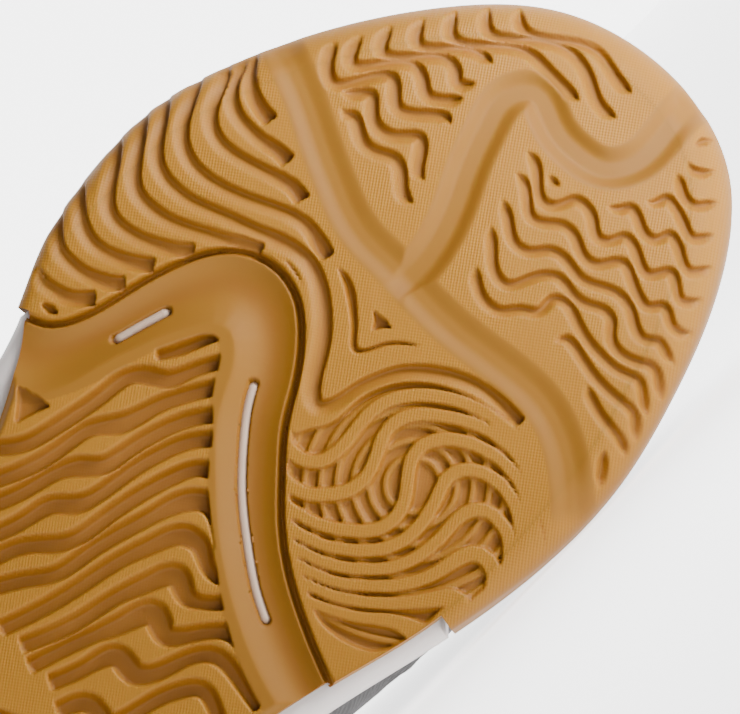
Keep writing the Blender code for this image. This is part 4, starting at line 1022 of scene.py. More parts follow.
    def pad_depth(self, xy: np.ndarray) -> tuple[np.ndarray, np.ndarray, np.ndarray]:
        """Turning pad: ribs over low rings and a bar, in a sunk field.

        Args:
            xy: points in the shoe's plan.

        Returns:
            Depth, share of the full depth, and painted shade on the rib and field walls at each
            point.
        """
        field_share = ease(self.pad_distance(xy) / 0.8)
        pick = np.flatnonzero(field_share > 0.0)
        depth, share, painted_shade = (np.zeros(len(xy)) for _ in range(3))
        p = xy[pick]
        floor, low, pitch = self.PAD_DEPTH, self.PAD_LOW, self.RING_PITCH
        radius = np.hypot(p[:, 0] - PAD_CENTRE[0], p[:, 1] - PAD_CENTRE[1])
        ring = np.abs((radius - 5.1 + 0.5 * pitch) % pitch - 0.5 * pitch)
        ring = ease((0.85 - ring) / 0.45) * (radius > 3.4)
        bar = ease((1.0 - np.abs(self.pad_bar.measure(p)[0])) / 0.45)
        bar[radius < 15.0] = 0.0
        top = floor - (floor - low) * np.maximum(ring, bar)
        rib = np.zeros(len(p))
        for line in self.pad_ribs:
            distance, arc, _ = line.measure(p)
            rise = ease((line.half_at(arc) + 0.35 - np.abs(distance)) / 0.65)
            rib = np.maximum(rib, rise * (arc > -2.9) * (arc < line.length + 2.9))
        deep = top * (1.0 - rib) * field_share[pick]
        depth[pick] = deep
        share[pick] = np.clip(deep / floor, 0.0, 1.0) ** 1.3
        # Painted shade on the walls of the ribs and round the edge of the sunk field.
        painted_shade[pick] = np.maximum(4 * rib * (1 - rib), 4 * field_share[pick]
                                 * (1 - field_share[pick]) * (1.0 - rib))
        return depth, share, painted_shade

    @staticmethod
    def taper(cut: Cut, line: Line, arc: np.ndarray) -> np.ndarray:
        """How far a groove has opened at a place along it."""
        far = (line.length - arc) * (cut.fade.value / Fade.CUT.value if cut.mouth else 1.0)
        ends = np.minimum(arc, far)
        return ease(np.clip(ends + 0.2, 0.0, None) / cut.fade.value) ** 0.6

    def read(self, xy: np.ndarray) -> tuple[np.ndarray, np.ndarray, np.ndarray]:
        """Depth in millimetres, what the material reads and grip at each point.

        Args:
            xy: points in the shoe's plan.

        Returns:
            Depth, then colour rows (share of the depth, steepness), then grip.
        """
        depth = np.zeros(len(xy))
        grip = np.ones(len(xy))
        toe_side = self.side_of_split(xy)
        rear = toe_side < 0.0
        stop = self.rib_stop.measure(xy)[0]
        groove, share, painted_shade = self.pad_depth(xy)
        for cut, line in self.grooves + self.heel_waves:
            pick = self.near(xy, line, 3.4)
            if not len(pick):
                continue
            distance, arc, _ = line.measure(xy[pick])
            opened = self.taper(cut, line, arc)
            half = line.half_at(arc) * opened
            steepen = 1.0
            if cut.mouth:
                steepen = 1.0 - self.STEEPENING * ease(1.0 - (line.length - arc) / cut.mouth)
            at_toe = (half + cut.shelf * opened + distance) / cut.toe_wall
            at_heel = (half + cut.spread * opened - distance) / (cut.heel_wall * steepen)
            here = ease(np.minimum(at_toe, at_heel)) * ease(opened * 1.6)
            if cut is WAVE:
                here = here * ease(stop[pick] / 0.7)
            deep = cut.depth * here
            better = deep > groove[pick]
            at = pick[better]
            groove[at] = deep[better]
            share[at] = here[better]
            # Painted shade on each groove's toe wall, which faces away from the light; on the heel
            # wall too, but not for spread and shelf cuts.
            side_shade = 0.0 if cut.spread or cut.shelf else 1.0
            groove_shade = 4 * here * (1 - here) * np.where(at_toe < at_heel, 1.0, side_shade)
            painted_shade[at] = groove_shade[better]
        depth += groove
        # Smooth channels over the forefoot
        shallow = self.channels[0].depth
        for channel in self.channels:
            distance, arc, _ = channel.line.measure(xy)
            opened = ease((arc + 4.0) / 6.0) * ease((channel.line.length - arc + 1.0) / 4.0)
            here = ease((channel.half - np.abs(distance)) / channel.wall) * opened
            over = channel.depth * here > depth
            share = np.where(over, 0.0, share)
            # Painted shade on the left bank of the deeper channel.
            side_shade = (channel.depth - shallow) * 2.0 * here * (1.0 - here) * (distance > 0)
            painted_shade = np.where(over, side_shade, painted_shade)
            depth = np.maximum(depth, channel.depth * here)
            grip *= 1.0 - ease((channel.half + 0.3 - np.abs(distance)) / 0.8) * opened
        # Cove and split
        edge = self.cove_edge.measure(xy)[0]
        back = np.abs(toe_side)
        inside = rear & (edge < 0.0)
        part = back / np.maximum(back + np.abs(edge), 1e-6)
        hollow = np.sin(math.pi * np.clip(part, 0.0, 1.0) ** 0.85)
        cove = np.where(inside, 0.4 * (1 - part) ** 2 + self.COVE_DEPTH * hollow ** 1.25, 0.0)
        depth = np.maximum(depth, cove)
        # Painted shade: a dark band across the cove's hollow.
        cove_shade = np.exp(-((part - 0.42) / 0.17) ** 2)
        painted_shade = np.where(inside, np.maximum(painted_shade, 0.8 * cove_shade), painted_shade)
        grip = np.where(rear & (stop < 0.4), 0.0, grip)
        lip = np.where(rear, ease((1.25 - back) / 1.1), ease((1.0 - back) / 0.65))
        depth = np.maximum(depth, self.LIP_DEPTH * lip)
        # Painted shade deep in the split: darker floor colour and the orange shade colour.
        share = np.maximum(share, lip * 0.8)
        painted_shade = np.maximum(painted_shade, lip)
        for line in self.windows:
            pick = self.near(xy, line, 3.0)
            distance, arc, _ = line.measure(xy[pick])
            past = np.maximum(np.maximum(-arc, arc - line.length), 0.0)
            reach = np.hypot(distance, past)
            hole = ease((self.WINDOW_HALF - reach) / 0.35)
            sunk = cove[pick] + (self.WINDOW_DEPTH - cove[pick]) * hole
            depth[pick] = np.maximum(depth[pick], sunk)
            # Painted shade round the rims of the windows.
            painted_shade[pick] = np.maximum(painted_shade[pick], 0.6 * ease((1.6 - reach) / 0.6))
        return depth, np.column_stack([share, painted_shade]), grip


def triangles_of(cells: np.ndarray, depth: np.ndarray) -> np.ndarray:
    """Two triangles a cell, split along its flatter diagonal.

    Args:
        cells: four corners a cell, in turn.
        depth: depth at each point.

    Returns:
        The triangles.
    """
    a, b, c, d = cells.T
    flat = np.abs(depth[a] - depth[c]) <= np.abs(depth[b] - depth[d])
    one = np.where(flat[:, None], np.stack([a, b, c], -1), np.stack([a, b, d], -1))
    two = np.where(flat[:, None], np.stack([a, c, d], -1), np.stack([b, c, d], -1))
    return np.vstack([one, two])


def boundary(triangles: np.ndarray) -> np.ndarray:
    """Edges with one triangle only, as they run in it."""
    edges = np.vstack([triangles[:, (0, 1)], triangles[:, (1, 2)], triangles[:, (2, 0)]])
    size = int(triangles.max()) + 1
    key = np.minimum(edges[:, 0], edges[:, 1]) * size + np.maximum(edges[:, 0], edges[:, 1])
    _, first, counts = np.unique(key, return_index=True, return_counts=True)
    return edges[first[counts == 1]]


@dataclass
class Outsole:
    """Both rubber pieces of the sole with their tread."""

    look: bpy.types.Material
    cell: float = 0.37
    heel_cell: float = 0.75
    front: float = 113.0
    wall_rows: int = 26
    edge_lip: float = 1.2
    edge_run: float = 1.5
    edge_bare: float = 1.6
    relief: Relief = field(default_factory=Relief)

    @staticmethod
    def grid(cell: float, low: float, high: float) -> tuple[np.ndarray, np.ndarray]:
        """Points and cells of a plan grid, from x low to high."""
        xs = np.arange(low, high + cell * 0.5, cell)
        ys = np.arange(-58.0, 59.0, cell)
        gx, gy = np.meshgrid(xs, ys, indexing="ij")
        xy = np.stack([gx.ravel(), gy.ravel()], -1)
        i, k = np.meshgrid(np.arange(len(xs) - 1), np.arange(len(ys) - 1), indexing="ij")
        a = (i * len(ys) + k).ravel()
        cells = np.stack([a, a + 1, a + len(ys) + 1, a + len(ys)], -1)
        return xy, cells

    @staticmethod
    def borders() -> tuple[Line, Line]:
        """Where the forefoot starts to roll up, and the edge of the rear rubber."""
        w = np.linspace(0.0, 2.0, 700)
        x = outline(w)[0][:, 0]
        roll = outline(w, column(HEIGHTS, 3, x))[0]
        side = np.where(w < 1.0, column(REAR_INSET, 1, x), column(REAR_INSET, 2, x))
        rear = outline(w, side)[0]
        return Line(roll, spacing=1.2, spare=0.1), Line(rear, spacing=1.2, spare=0.1)

    @staticmethod
    def cover(xy: np.ndarray, cells: np.ndarray, border: Line, toe: bool,
              toe_side: np.ndarray) -> np.ndarray:
        """Cells inside a border and on one side of the split."""
        inward = border.measure(xy)[0]
        keep = (inward[cells] > -1e-2).all(axis=1) & (inward[cells].mean(axis=1) > 0.04)
        middle = toe_side[cells].mean(axis=1)
        return cells[keep & ((middle > -0.25) if toe else (middle <= 0.0))]

    def piece(self, name: str, sheet: dict[str, np.ndarray]) -> bpy.types.Object:
        """One rubber piece with what its material reads."""
        used, faces = np.unique(sheet["triangles"], return_inverse=True)
        made = make_object(name, sheet["places"][used], faces.reshape(-1, 3))
        set_vectors(made, "plan", np.column_stack([sheet["plan"][used], np.zeros(len(used))]))
        set_values(made, "relief", sheet["relief"][used, 0])
        # Painted shade mask for the gum's orange wall colour.
        set_values(made, "painted_shade", sheet["relief"][used, 1])
        set_values(made, "grip", sheet["grip"][used])
        made.data.materials.append(self.look)
        return made

    @staticmethod
    def skirt(places: np.ndarray, triangles: np.ndarray,
              drop: float) -> tuple[np.ndarray, np.ndarray, np.ndarray]:
        """Side faces down from the open border into the sole.

        Args:
            places: points of the sheet.
            triangles: its faces.
            drop: how far above the ground line the side ends.

        Returns:
            All the points, the side faces, and the sheet's point that each added one is under.
        """
        edges = boundary(triangles)
        names, index = np.unique(edges, return_inverse=True)
        index = index.reshape(edges.shape) + len(places)
        top = places[names]
        deep = top.copy()
        deep[:, 2] = ground(deep[:, 0]) + drop
        a, b = index.T
        c, d = (index + len(names)).T
        walls = np.vstack([np.stack([b, a, c], -1), np.stack([b, c, d], -1)])
        return np.vstack([places, top, deep]), walls, np.concatenate([names, names])

    def sheet(self, xy: np.ndarray, triangles: np.ndarray, depth: np.ndarray, share: np.ndarray,
              grip: np.ndarray) -> dict[str, np.ndarray]:
        """Height field with its skirt."""
        places = np.column_stack([xy, ground(xy[:, 0]) + depth])
        places, walls, names = self.skirt(places, triangles, RUBBER)
        return {"places": places, "triangles": np.vstack([triangles, walls]),
                "plan": np.vstack([xy, xy[names]]), "relief": np.vstack([share, share[names]]),
                "grip": np.append(grip, grip[names])}

    def rolled(self) -> dict[str, np.ndarray]:
        """Rounded edge and wall of the forefoot, from the roll line up."""
        low = float(place_of(174.4))
        w = np.linspace(low, 2.0 - float(place_of(178.2)), 620)
        x = outline(w)[0][:, 0]
        radius = column(HEIGHTS, 3, x)
        top = column(HEIGHTS, 2, x)
        start = ground(x) + radius
        rows = [(outline(w, radius + 0.5)[0], -0.5, None)]
        for angle in np.linspace(0.0, math.pi / 2, self.wall_rows):
            rows.append((outline(w, radius * (1.0 - math.sin(angle)))[0], angle, None))
        for share in np.linspace(0.0, 1.0, 9)[1:]:
            rows.append((outline(w, 0.02)[0], math.pi / 2, share))
        places, plans, shares, grips = [], [], [], []
        for plan, angle, share in rows:
            depth, relief, grip = self.relief.read(plan)
            fade = 1.0 if share is None else 1.0 - 0.75 * float(ease(share * 1.6))
            side = float(ease((math.pi / 2 - max(angle, 0.0)) / 0.9))
            fine = 0.12 + 0.88 * side
            depth, relief = depth * fade * fine, relief * fade
            inset = radius - (radius - depth) * math.sin(angle)
            rise = radius - (radius - depth) * math.cos(angle)
            if angle < 0.0:
                inset, rise = radius - angle, depth + 0.05
            spot = outline(w, inset)[0]
            z = ground(spot[:, 0]) + rise
            if share is not None:
                z = start + (top - start) * share
                spot = outline(w, depth + 0.3 * share)[0]
            places.append(np.column_stack([spot, z]))
            plans.append(plan)
            shares.append(relief)
            grips.append(grip * side)
        count = len(w)
        i, k = np.meshgrid(np.arange(len(rows) - 1), np.arange(count - 1), indexing="ij")
        a = (i * count + k).ravel()
        cells = np.stack([a, a + count, a + count + 1, a + 1], -1)
        shares = np.vstack(shares)
        faces = triangles_of(cells, shares[:, 0])
        return {"places": np.vstack(places), "triangles": faces, "plan": np.vstack(plans),
                "relief": shares, "grip": np.concatenate(grips)}

    @staticmethod
    def join(parts: list[dict[str, np.ndarray]]) -> dict[str, np.ndarray]:
        """Put sheets in one."""
        shift = np.cumsum([0] + [len(p["places"]) for p in parts])
        joined = {key: np.concatenate([p[key] for p in parts])
                  for key in ("places", "plan", "relief", "grip")}
        joined["triangles"] = np.vstack([p["triangles"] + s for p, s in zip(parts, shift)])
        return joined

    def lip(self, edge: np.ndarray) -> np.ndarray:
        """How far the rear rubber turns up beside its edge."""
        return self.edge_lip * ease((self.edge_run - edge) / self.edge_run)

    def forefoot(self, roll: Line) -> dict[str, np.ndarray]:
        """Rubber of the ball and the toe, with its rolled edge."""
        xy, cells = self.grid(self.cell, 155.0, SOLE_LENGTH)
        cells = cells[(self.relief.side_of_split(xy)[cells] > -1.0).any(axis=1)]
        xy = self.relief.snap(xy, self.cell, [(roll, 0.0)])
        depth, share, grip = self.relief.read(xy)
        toe_side = self.relief.side_of_split(xy)
        faces = triangles_of(self.cover(xy, cells, roll, True, toe_side), depth)
        grip *= ease((roll.measure(xy)[0] + 1.0) / 2.0)
        return self.join([self.sheet(xy, faces, depth, share, grip), self.rolled()])

    def waist(self, rear: Line) -> dict[str, np.ndarray]:
        """Rubber of the waist, with the cove and the windows."""
        xy, cells = self.grid(self.cell, self.front, 212.0)
        windows = [(line, 1.05) for line in self.relief.windows]
        xy = self.relief.snap(xy, self.cell, [(rear, 0.0), *windows])
        depth, share, grip = self.relief.read(xy)
        toe_side = self.relief.side_of_split(xy)
        edge = rear.measure(xy)[0]
        lip = np.where(toe_side < 0.0, self.lip(edge), 0.0)
        faces = triangles_of(self.cover(xy, cells, rear, False, toe_side), depth)
        grip = np.where(edge < self.edge_bare, 0.0, grip)
        return self.sheet(xy, faces, np.maximum(depth, lip), share, grip)

    def heel(self, rear: Line) -> dict[str, np.ndarray]:
        """Rubber of the heel, with coarser cells."""
        xy, cells = self.grid(self.heel_cell, 0.0, self.front + 0.2)
        xy = self.relief.snap(xy, self.heel_cell, [(rear, 0.0)])
        depth, share, grip = self.relief.read(xy)
        edge = rear.measure(xy)[0]
        inset = ease((edge - 3.0) / 1.5)
        depth, share = depth * inset, share * inset[:, None]
        behind = np.full(len(xy), -20.0)
        faces = triangles_of(self.cover(xy, cells, rear, False, behind), depth)
        grip = np.where(edge < self.edge_bare, 0.0, grip)
        return self.sheet(xy, faces, np.maximum(depth, self.lip(edge)), share, grip)

    def build(self) -> list[bpy.types.Object]:
        """Make both pieces."""
        roll, rear = self.borders()
        made = []
        for name, sheet, node in (
                ("forefoot_rubber", self.forefoot(roll), "outsole_forefoot"),
                ("rear_rubber", self.join([self.waist(rear), self.heel(rear)]), "outsole_rear")):
            piece = self.piece(name, sheet)
            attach(piece, "root")
            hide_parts(node)
            made.append(piece)
        return made


def ladder(count: int) -> list[tuple[int, ...]]:
    """Faces across a closed ring whose two sides have matching places."""
    faces = []
    last = count - 1
    for i in range(count // 2):
        right = (count - i) % count
        if i == 0:
            faces.append((0, 1, last))
        elif i + 1 == last - i:
            faces.append((i, i + 1, right))
        else:
            faces.append((i, i + 1, last - i, right))
    return faces


def ring_body(name: str, rings: list[np.ndarray]) -> bpy.types.Object:
    """Body from closed rings stacked bottom to top."""
    count = len(rings[0])
    faces = []
    for level in range(len(rings) - 1):
        for i in range(count):
            a, b = level * count + i, level * count + (i + 1) % count
            faces.append((a, a + count, b + count, b))
    top = (len(rings) - 1) * count
    faces += ladder(count)
    faces += [tuple(top + i for i in reversed(f)) for f in ladder(count)]
    made = make_object(name, np.vstack(rings), faces)
    return outwards(made)


def outwards(piece: bpy.types.Object) -> bpy.types.Object:
    """Turn the faces of a closed piece outwards."""
    work = bmesh.new()
    work.from_mesh(piece.data)
    bmesh.ops.recalc_face_normals(work, faces=work.faces)
    work.to_mesh(piece.data)
    work.free()
    return piece


def sheet_faces(count: int, rows: int) -> list[tuple[int, ...]]:
    """Faces of a thin closed sheet: far side, near side and border.

    Args:
        count: columns of points on each side.
        rows: points in a column; the near side's points come after all of the far side's.

    Returns:
        The faces.
    """
    shift = count * rows
    faces = []
    for i in range(count - 1):
        for k in range(rows - 1):
            a = i * rows + k
            b = a + rows
            faces += [(a, b, b + 1, a + 1), (shift + a + 1, shift + b + 1, shift + b, shift + a)]
    border = [i * rows for i in range(count)] + [(count - 1) * rows + k for k in range(1, rows)]
    border += [i * rows + rows - 1 for i in range(count - 2, -1, -1)]
    border += list(range(rows - 2, 0, -1))
    for a, b in zip(border, border[1:] + border[:1]):
        faces.append((a, shift + a, shift + b, b))
    return faces


def tube_faces(count: int, ring: int, first: int = 0) -> list[tuple[int, ...]]:
    """Faces of a closed tube: its wall and both ends.

    Args:
        count: rings along it.
        ring: points in a ring.
        first: number of the first point.

    Returns:
        The faces.
    """
    faces = []
    for i in range(count - 1):
        for k in range(ring):
            a, b = first + i * ring + k, first + i * ring + (k + 1) % ring
            faces.append((a, b, b + ring, a + ring))
    last = first + (count - 1) * ring
    faces.append(tuple(first + k for k in range(ring)))
    faces.append(tuple(last + k for k in reversed(range(ring))))
    return faces


@dataclass
class Midsole:
    """Foam midsole, with the strips of it that stand in the two windows, in a darker, warmer copy
    of the foam that is painted shade and warm bounce light.
    """

    look: bpy.types.Material
    shaded_strip_look: bpy.types.Material
    steps: int = 260

    def build(self) -> bpy.types.Object:
        """Make the body and its strips."""
        w = loop(self.steps)
        x = outline(w)[0][:, 0]
        back = np.clip(np.where(w < 1.0, (x - 174.2) / 2.7, (x - 177.2) / 1.2), 0.0, 1.0)
        inset = (RUBBER + FIT) * back
        low = RUBBER + FIT
        rings = []
        for extra, rise in ((3.2, 0.0), (2.0, 0.25), (1.1, 1.1), (0.35, 2.4), (0.0, 4.0)):
            plan, _ = outline(w, inset + extra)
            rings.append(np.column_stack([plan, ground(plan[:, 0]) + low + rise]))
        start = rings[-1][:, 2]
        for share in np.linspace(0.0, 1.0, 12)[1:]:
            hollow = 0.55 * math.sin(math.pi * min(share * 1.05, 1.0)) * (1.0 - back)
            plan, _ = outline(w, inset + (0.9 * share + hollow) * (1.0 - back))
            z = start + (sole_top(plan[:, 0]) - start) * share
            rings.append(np.column_stack([plan, z]))
        body = ring_body("foam_midsole", rings)
        body.data.materials.append(self.look)
        body.data.materials.append(self.shaded_strip_look)
        strips = [self.strip(Line(points, spacing=0.5, spare=0.9)) for points in WINDOWS]
        work = bmesh.new()
        work.from_mesh(body.data)
        for strip in strips:
            work.from_mesh(strip.data)
            bpy.data.objects.remove(strip)
        work.to_mesh(body.data)
        work.free()
        body.data.set_sharp_from_angle(angle=math.radians(50.0))
        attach(body, "root")
        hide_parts("midsole")
        return body

    @staticmethod
    def strip(line: Line) -> bpy.types.Object:
        """Rounded ridge of foam in one window."""
        run = unit(np.gradient(line.points, axis=0))
        left = np.stack([-run[:, 1], run[:, 0]], -1)
        angles = np.linspace(0.0, math.pi, 9)
        rows = []
        ends = np.minimum(line.arc + 0.9, line.length + 0.9 - line.arc)
        size = np.sqrt(np.clip(ends / 1.4, 0.0, 1.0)) * 0.95 + 0.05
        for spot, side, grow in zip(line.points, left, size):
            plan = spot[None] + side[None] * (1.16 * grow * np.cos(angles))[:, None]
            deep = 3.6 - 1.3 * grow * np.sin(angles)
            rows.append(np.column_stack([plan, ground(plan[:, 0]) + deep]))
        faces = tube_faces(len(rows), len(angles))
        made = outwards(make_object("strip", np.vstack(rows), faces))
        # Strip faces take the darker copy of the foam: painted shade.
        for polygon in made.data.polygons:
            polygon.material_index = 1
        return made


@dataclass
class Footbed:
    """Insole lying in the shoe."""

    look: bpy.types.Material
    steps: int = 120

    def build(self) -> bpy.types.Object:
        """Make the footbed."""
        w = loop(self.steps)
        places = [row[0] for row in SECTIONS]
        inset = around(places, [r[1] for r in SECTIONS], [r[1] for r in SECTIONS], w)
        rings = []
        for extra, rise in ((2.0, FIT), (1.4, FIT + 0.6), (1.3, FIT + 3.0),
                            (1.7, FIT + INSOLE_THICK - 0.3), (2.6, FIT + INSOLE_THICK),
                            (8.0, FIT + INSOLE_THICK - 0.5)):
            plan, _ = outline(w, inset + UPPER_THICK + extra)
            rings.append(np.column_stack([plan, sole_top(plan[:, 0]) + rise]))
        made = ring_body("footbed", rings)
        flat = np.vstack(rings)[:, :2]
        set_vectors(made, "cloth", np.column_stack([flat, np.zeros(len(flat))]))
        made.data.materials.append(self.look)
        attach(made, "root")
        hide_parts("insole")
        return made


@dataclass
class Upper:
    """Hollow upper with flex creases, its lining and its rolled collar edge."""

    look: bpy.types.Material
    lining: bpy.types.Material
    around_steps: int = 340
    rise_steps: int = 56
    # Creases as x, lowest and highest v, width in mm, depth in mm and side
    creases: Rows = (
        (196.0, 0.05, 0.75, 2.6, 0.9, -1), (205.0, 0.05, 0.85, 2.2, 1.1, -1),
        (214.0, 0.10, 0.80, 2.8, 0.8, -1), (228.0, 0.05, 0.70, 2.4, 0.7, -1),
        (198.0, 0.05, 0.80, 2.6, 0.9, 1), (209.0, 0.05, 0.85, 2.4, 1.0, 1),
        (220.0, 0.10, 0.70, 2.6, 0.7, 1), (150.0, 0.02, 0.35, 2.0, 0.7, 1),
        (162.0, 0.02, 0.40, 1.8, 0.8, 1), (172.0, 0.02, 0.45, 1.6, 0.8, 1),
        (182.0, 0.02, 0.50, 1.8, 0.7, 1), (120.0, 0.10, 0.50, 4.0, 0.7, 1),
        (118.0, 0.10, 0.50, 4.0, 0.6, -1), (150.0, 0.05, 0.45, 3.0, 0.6, -1),
    )

    def crease(self, skin: np.ndarray, w: np.ndarray, v: np.ndarray) -> np.ndarray:
        """Depth of the creases at each point of the skin."""
        x = skin[..., 0]
        side = np.where(np.mod(w, 2.0) < 1.0, -1, 1)
        total = np.zeros(x.shape)
        for place, low, high, wide, deep, half in self.creases:
            middle = place + 5.0 * (v - low) - 3.0 * np.sin(3.0 * v + place)
            across = np.exp(-((x - middle) / wide) ** 2)
            across -= 0.45 * np.exp(-((x - middle - wide * 1.6) / (wide * 1.2)) ** 2)
            span = ease((v - low) / 0.1) * ease((high - v) / 0.2)
            total += np.where(side == half, deep * across * span, 0.0)
        return total

    def build(self) -> bpy.types.Object:
        """Make the shell."""
        w = loop(self.around_steps // 2)[:, None]
        v = np.concatenate([np.linspace(0.0, 0.9, self.rise_steps - 14),
                            np.linspace(0.9, 1.0, 15)[1:]])[None, :]
        skin = upper_skin(w, v)
        crease = self.crease(skin, w, v)
        rolled = ((v - 0.985) / 0.015).clip(0) ** 2
        edge = 0.5 * UPPER_THICK * (1.0 - np.sqrt(np.clip(1.0 - rolled, 0.0, 1.0)))
        outer = upper_off(w, v, -crease - edge)
        inner = upper_off(w, v, -UPPER_THICK - 0.4 * crease + edge)
        inner[:, 0, 2] = outer[:, 0, 2]
        count, rows = outer.shape[:2]
        shift = count * rows
        faces, slots = [], []
        for i in range(count):
            j = (i + 1) % count
            for k in range(rows - 1):
                a, b = i * rows + k, j * rows + k
                faces += [(a, b, b + 1, a + 1),
                          (shift + a + 1, shift + b + 1, shift + b, shift + a)]
                slots += [0, 1]
            for k, flip in ((0, False), (rows - 1, True)):
                a, b = i * rows + k, j * rows + k
                rim = (a, shift + a, shift + b, b)
                faces.append(tuple(reversed(rim)) if flip else rim)
                slots.append(1 if flip else 0)
        made = make_object("upper_shell", np.vstack([outer.reshape(-1, 3), inner.reshape(-1, 3)]),
                           faces)
        flat = self.flat(skin)
        set_vectors(made, "cloth", np.vstack([flat, flat]))
        worn = np.clip(crease * 0.9, 0.0, 1.0).ravel()
        set_values(made, "crease", np.concatenate([worn, worn]))
        made.data.materials.append(self.look)
        made.data.materials.append(self.lining)
        made.data.polygons.foreach_set("material_index", slots)
        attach(made, "root")
        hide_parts("upper")
        return made

    @staticmethod
    def flat(skin: np.ndarray) -> np.ndarray:
        """Flat pattern of the skin in millimetres: along the sole and up the side."""
        along = reach_along(skin[:, 8])
        up = np.linalg.norm(np.diff(skin, axis=1), axis=2)
        up = np.concatenate([np.zeros((len(skin), 1)), np.cumsum(up, axis=1)], axis=1)
        return np.stack([np.broadcast_to(along[:, None], up.shape), up,
                         np.zeros(up.shape)], -1).reshape(-1, 3)


def plate(name: str, w: np.ndarray, levels: np.ndarray) -> bpy.types.Object:
    """Thin overlay on the upper with rounded edges.

    Args:
        name: name of the piece.
        w: places round the sole, one a column.
        levels: levels up the side, one row a column.

    Returns:
        The piece, closed, with its flat pattern and no creases.
    """
    wide = np.broadcast_to(w[:, None], levels.shape)
    count, rows = levels.shape
    along = np.minimum(np.arange(rows), np.arange(rows)[::-1])
    cross = np.minimum(np.arange(count), np.arange(count)[::-1])
    fall = np.minimum(along[None, :], cross[:, None])
    round_off = np.where(fall == 0, 0.5, np.where(fall == 1, 0.12, 0.0)) * OVERLAY_THICK
    far = upper_off(wide, levels, FIT + OVERLAY_THICK - round_off)
    near = upper_off(wide, levels, np.full(levels.shape, FIT))
    points = np.vstack([far.reshape(-1, 3), near.reshape(-1, 3)])
    made = outwards(make_object(name, points, sheet_faces(count, rows)))
    flat = Upper.flat(upper_skin(wide, levels))
    set_vectors(made, "cloth", np.vstack([flat, flat]))
    set_values(made, "crease", np.zeros(len(points)))
    return made


@dataclass
class Thread:
    """Row of stitches along a line, made by Geometry Nodes."""

    look: bpy.types.Material
    pitch: float = 2.8
    length: float = 2.2
    radius: float = 0.32

    def tree(self) -> bpy.types.NodeTree:
        """Node tree: even points on a curve, one small rounded stitch at each."""
        group = bpy.data.node_groups.new("stitch row", "GeometryNodeTree")
        face = group.interface
        face.new_socket("Geometry", in_out="INPUT", socket_type="NodeSocketGeometry")
        for name in ("Pitch", "Length", "Radius"):
            face.new_socket(name, in_out="INPUT", socket_type="NodeSocketFloat")
        face.new_socket("Geometry", in_out="OUTPUT", socket_type="NodeSocketGeometry")
        nodes = group.nodes
        start = nodes.new("NodeGroupInput")
        end = nodes.new("NodeGroupOutput")
        curve = nodes.new("GeometryNodeMeshToCurve")
        even = nodes.new("GeometryNodeCurveToPoints")
        even.mode = "LENGTH"
        stitch = nodes.new("GeometryNodeMeshUVSphere")
        stitch.inputs["Segments"].default_value = 6
        stitch.inputs["Rings"].default_value = 5
        stitch.inputs["Radius"].default_value = 1.0
        size = nodes.new("ShaderNodeCombineXYZ")
        half = nodes.new("ShaderNodeMath")
        half.operation = "MULTIPLY"
        half.inputs[1].default_value = 0.5
        place = nodes.new("GeometryNodeInstanceOnPoints")
        real = nodes.new("GeometryNodeRealizeInstances")
        skin = nodes.new("GeometryNodeSetMaterial")
        skin.inputs["Material"].default_value = self.look
        for out, into in (
                (start.outputs["Geometry"], curve.inputs["Mesh"]),
                (curve.outputs["Curve"], even.inputs["Curve"]),
                (start.outputs["Pitch"], even.inputs["Length"]),
                (even.outputs["Points"], place.inputs["Points"]),
                (stitch.outputs["Mesh"], place.inputs["Instance"]),
                (even.outputs["Rotation"], place.inputs["Rotation"]),
                (start.outputs["Length"], half.inputs[0]),
                (start.outputs["Radius"], size.inputs["X"]),
                (start.outputs["Radius"], size.inputs["Y"]),
                (half.outputs[0], size.inputs["Z"]),
                (size.outputs[0], place.inputs["Scale"]),
                (place.outputs["Instances"], real.inputs["Geometry"]),
                (real.outputs["Geometry"], skin.inputs["Geometry"]),
                (skin.outputs["Geometry"], end.inputs["Geometry"])):
            group.links.new(out, into)
        return group

    def sew(self, name: str, paths: list[np.ndarray]) -> bpy.types.Object:
        """Stitches along paths given in shoe millimetres."""
        points, edges = [], []
        for path in paths:
            first = len(points)
            points += [tuple(p) for p in LAY.points(path)]
            edges += [(i, i + 1) for i in range(first, len(points) - 1)]
        mesh = bpy.data.meshes.new(name + "_path")
        mesh.from_pydata(points, edges, [])
        carrier = put(name + "_path", mesh)
        row = carrier.modifiers.new("stitches", "NODES")
        row.node_group = self.tree()
        sizes = {"Pitch": self.pitch, "Length": self.length, "Radius": self.radius}
        for item in row.node_group.interface.items_tree:
            if item.in_out == "INPUT" and item.name in sizes:
                row[item.identifier] = sizes[item.name] * MM
        depsgraph = bpy.context.evaluated_depsgraph_get()
        made = bpy.data.meshes.new_from_object(carrier.evaluated_get(depsgraph))
        bpy.data.objects.remove(carrier)
        piece = put(name, made)
        made.shade_smooth()
        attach(piece, "root")
        return piece


EYELETS = tuple((0.06 + 0.175 * i) for i in range(6))
OVERLAY_TOP = FIT + OVERLAY_THICK


def throat_place(along: float) -> float:
    """Place round the sole of the throat edge, along 0 in front to 1 at the top."""
    opening = [row[2] for row in SECTIONS]
    return float(np.interp(199.0 - 80.0 * along, opening, [row[0] for row in SECTIONS]))


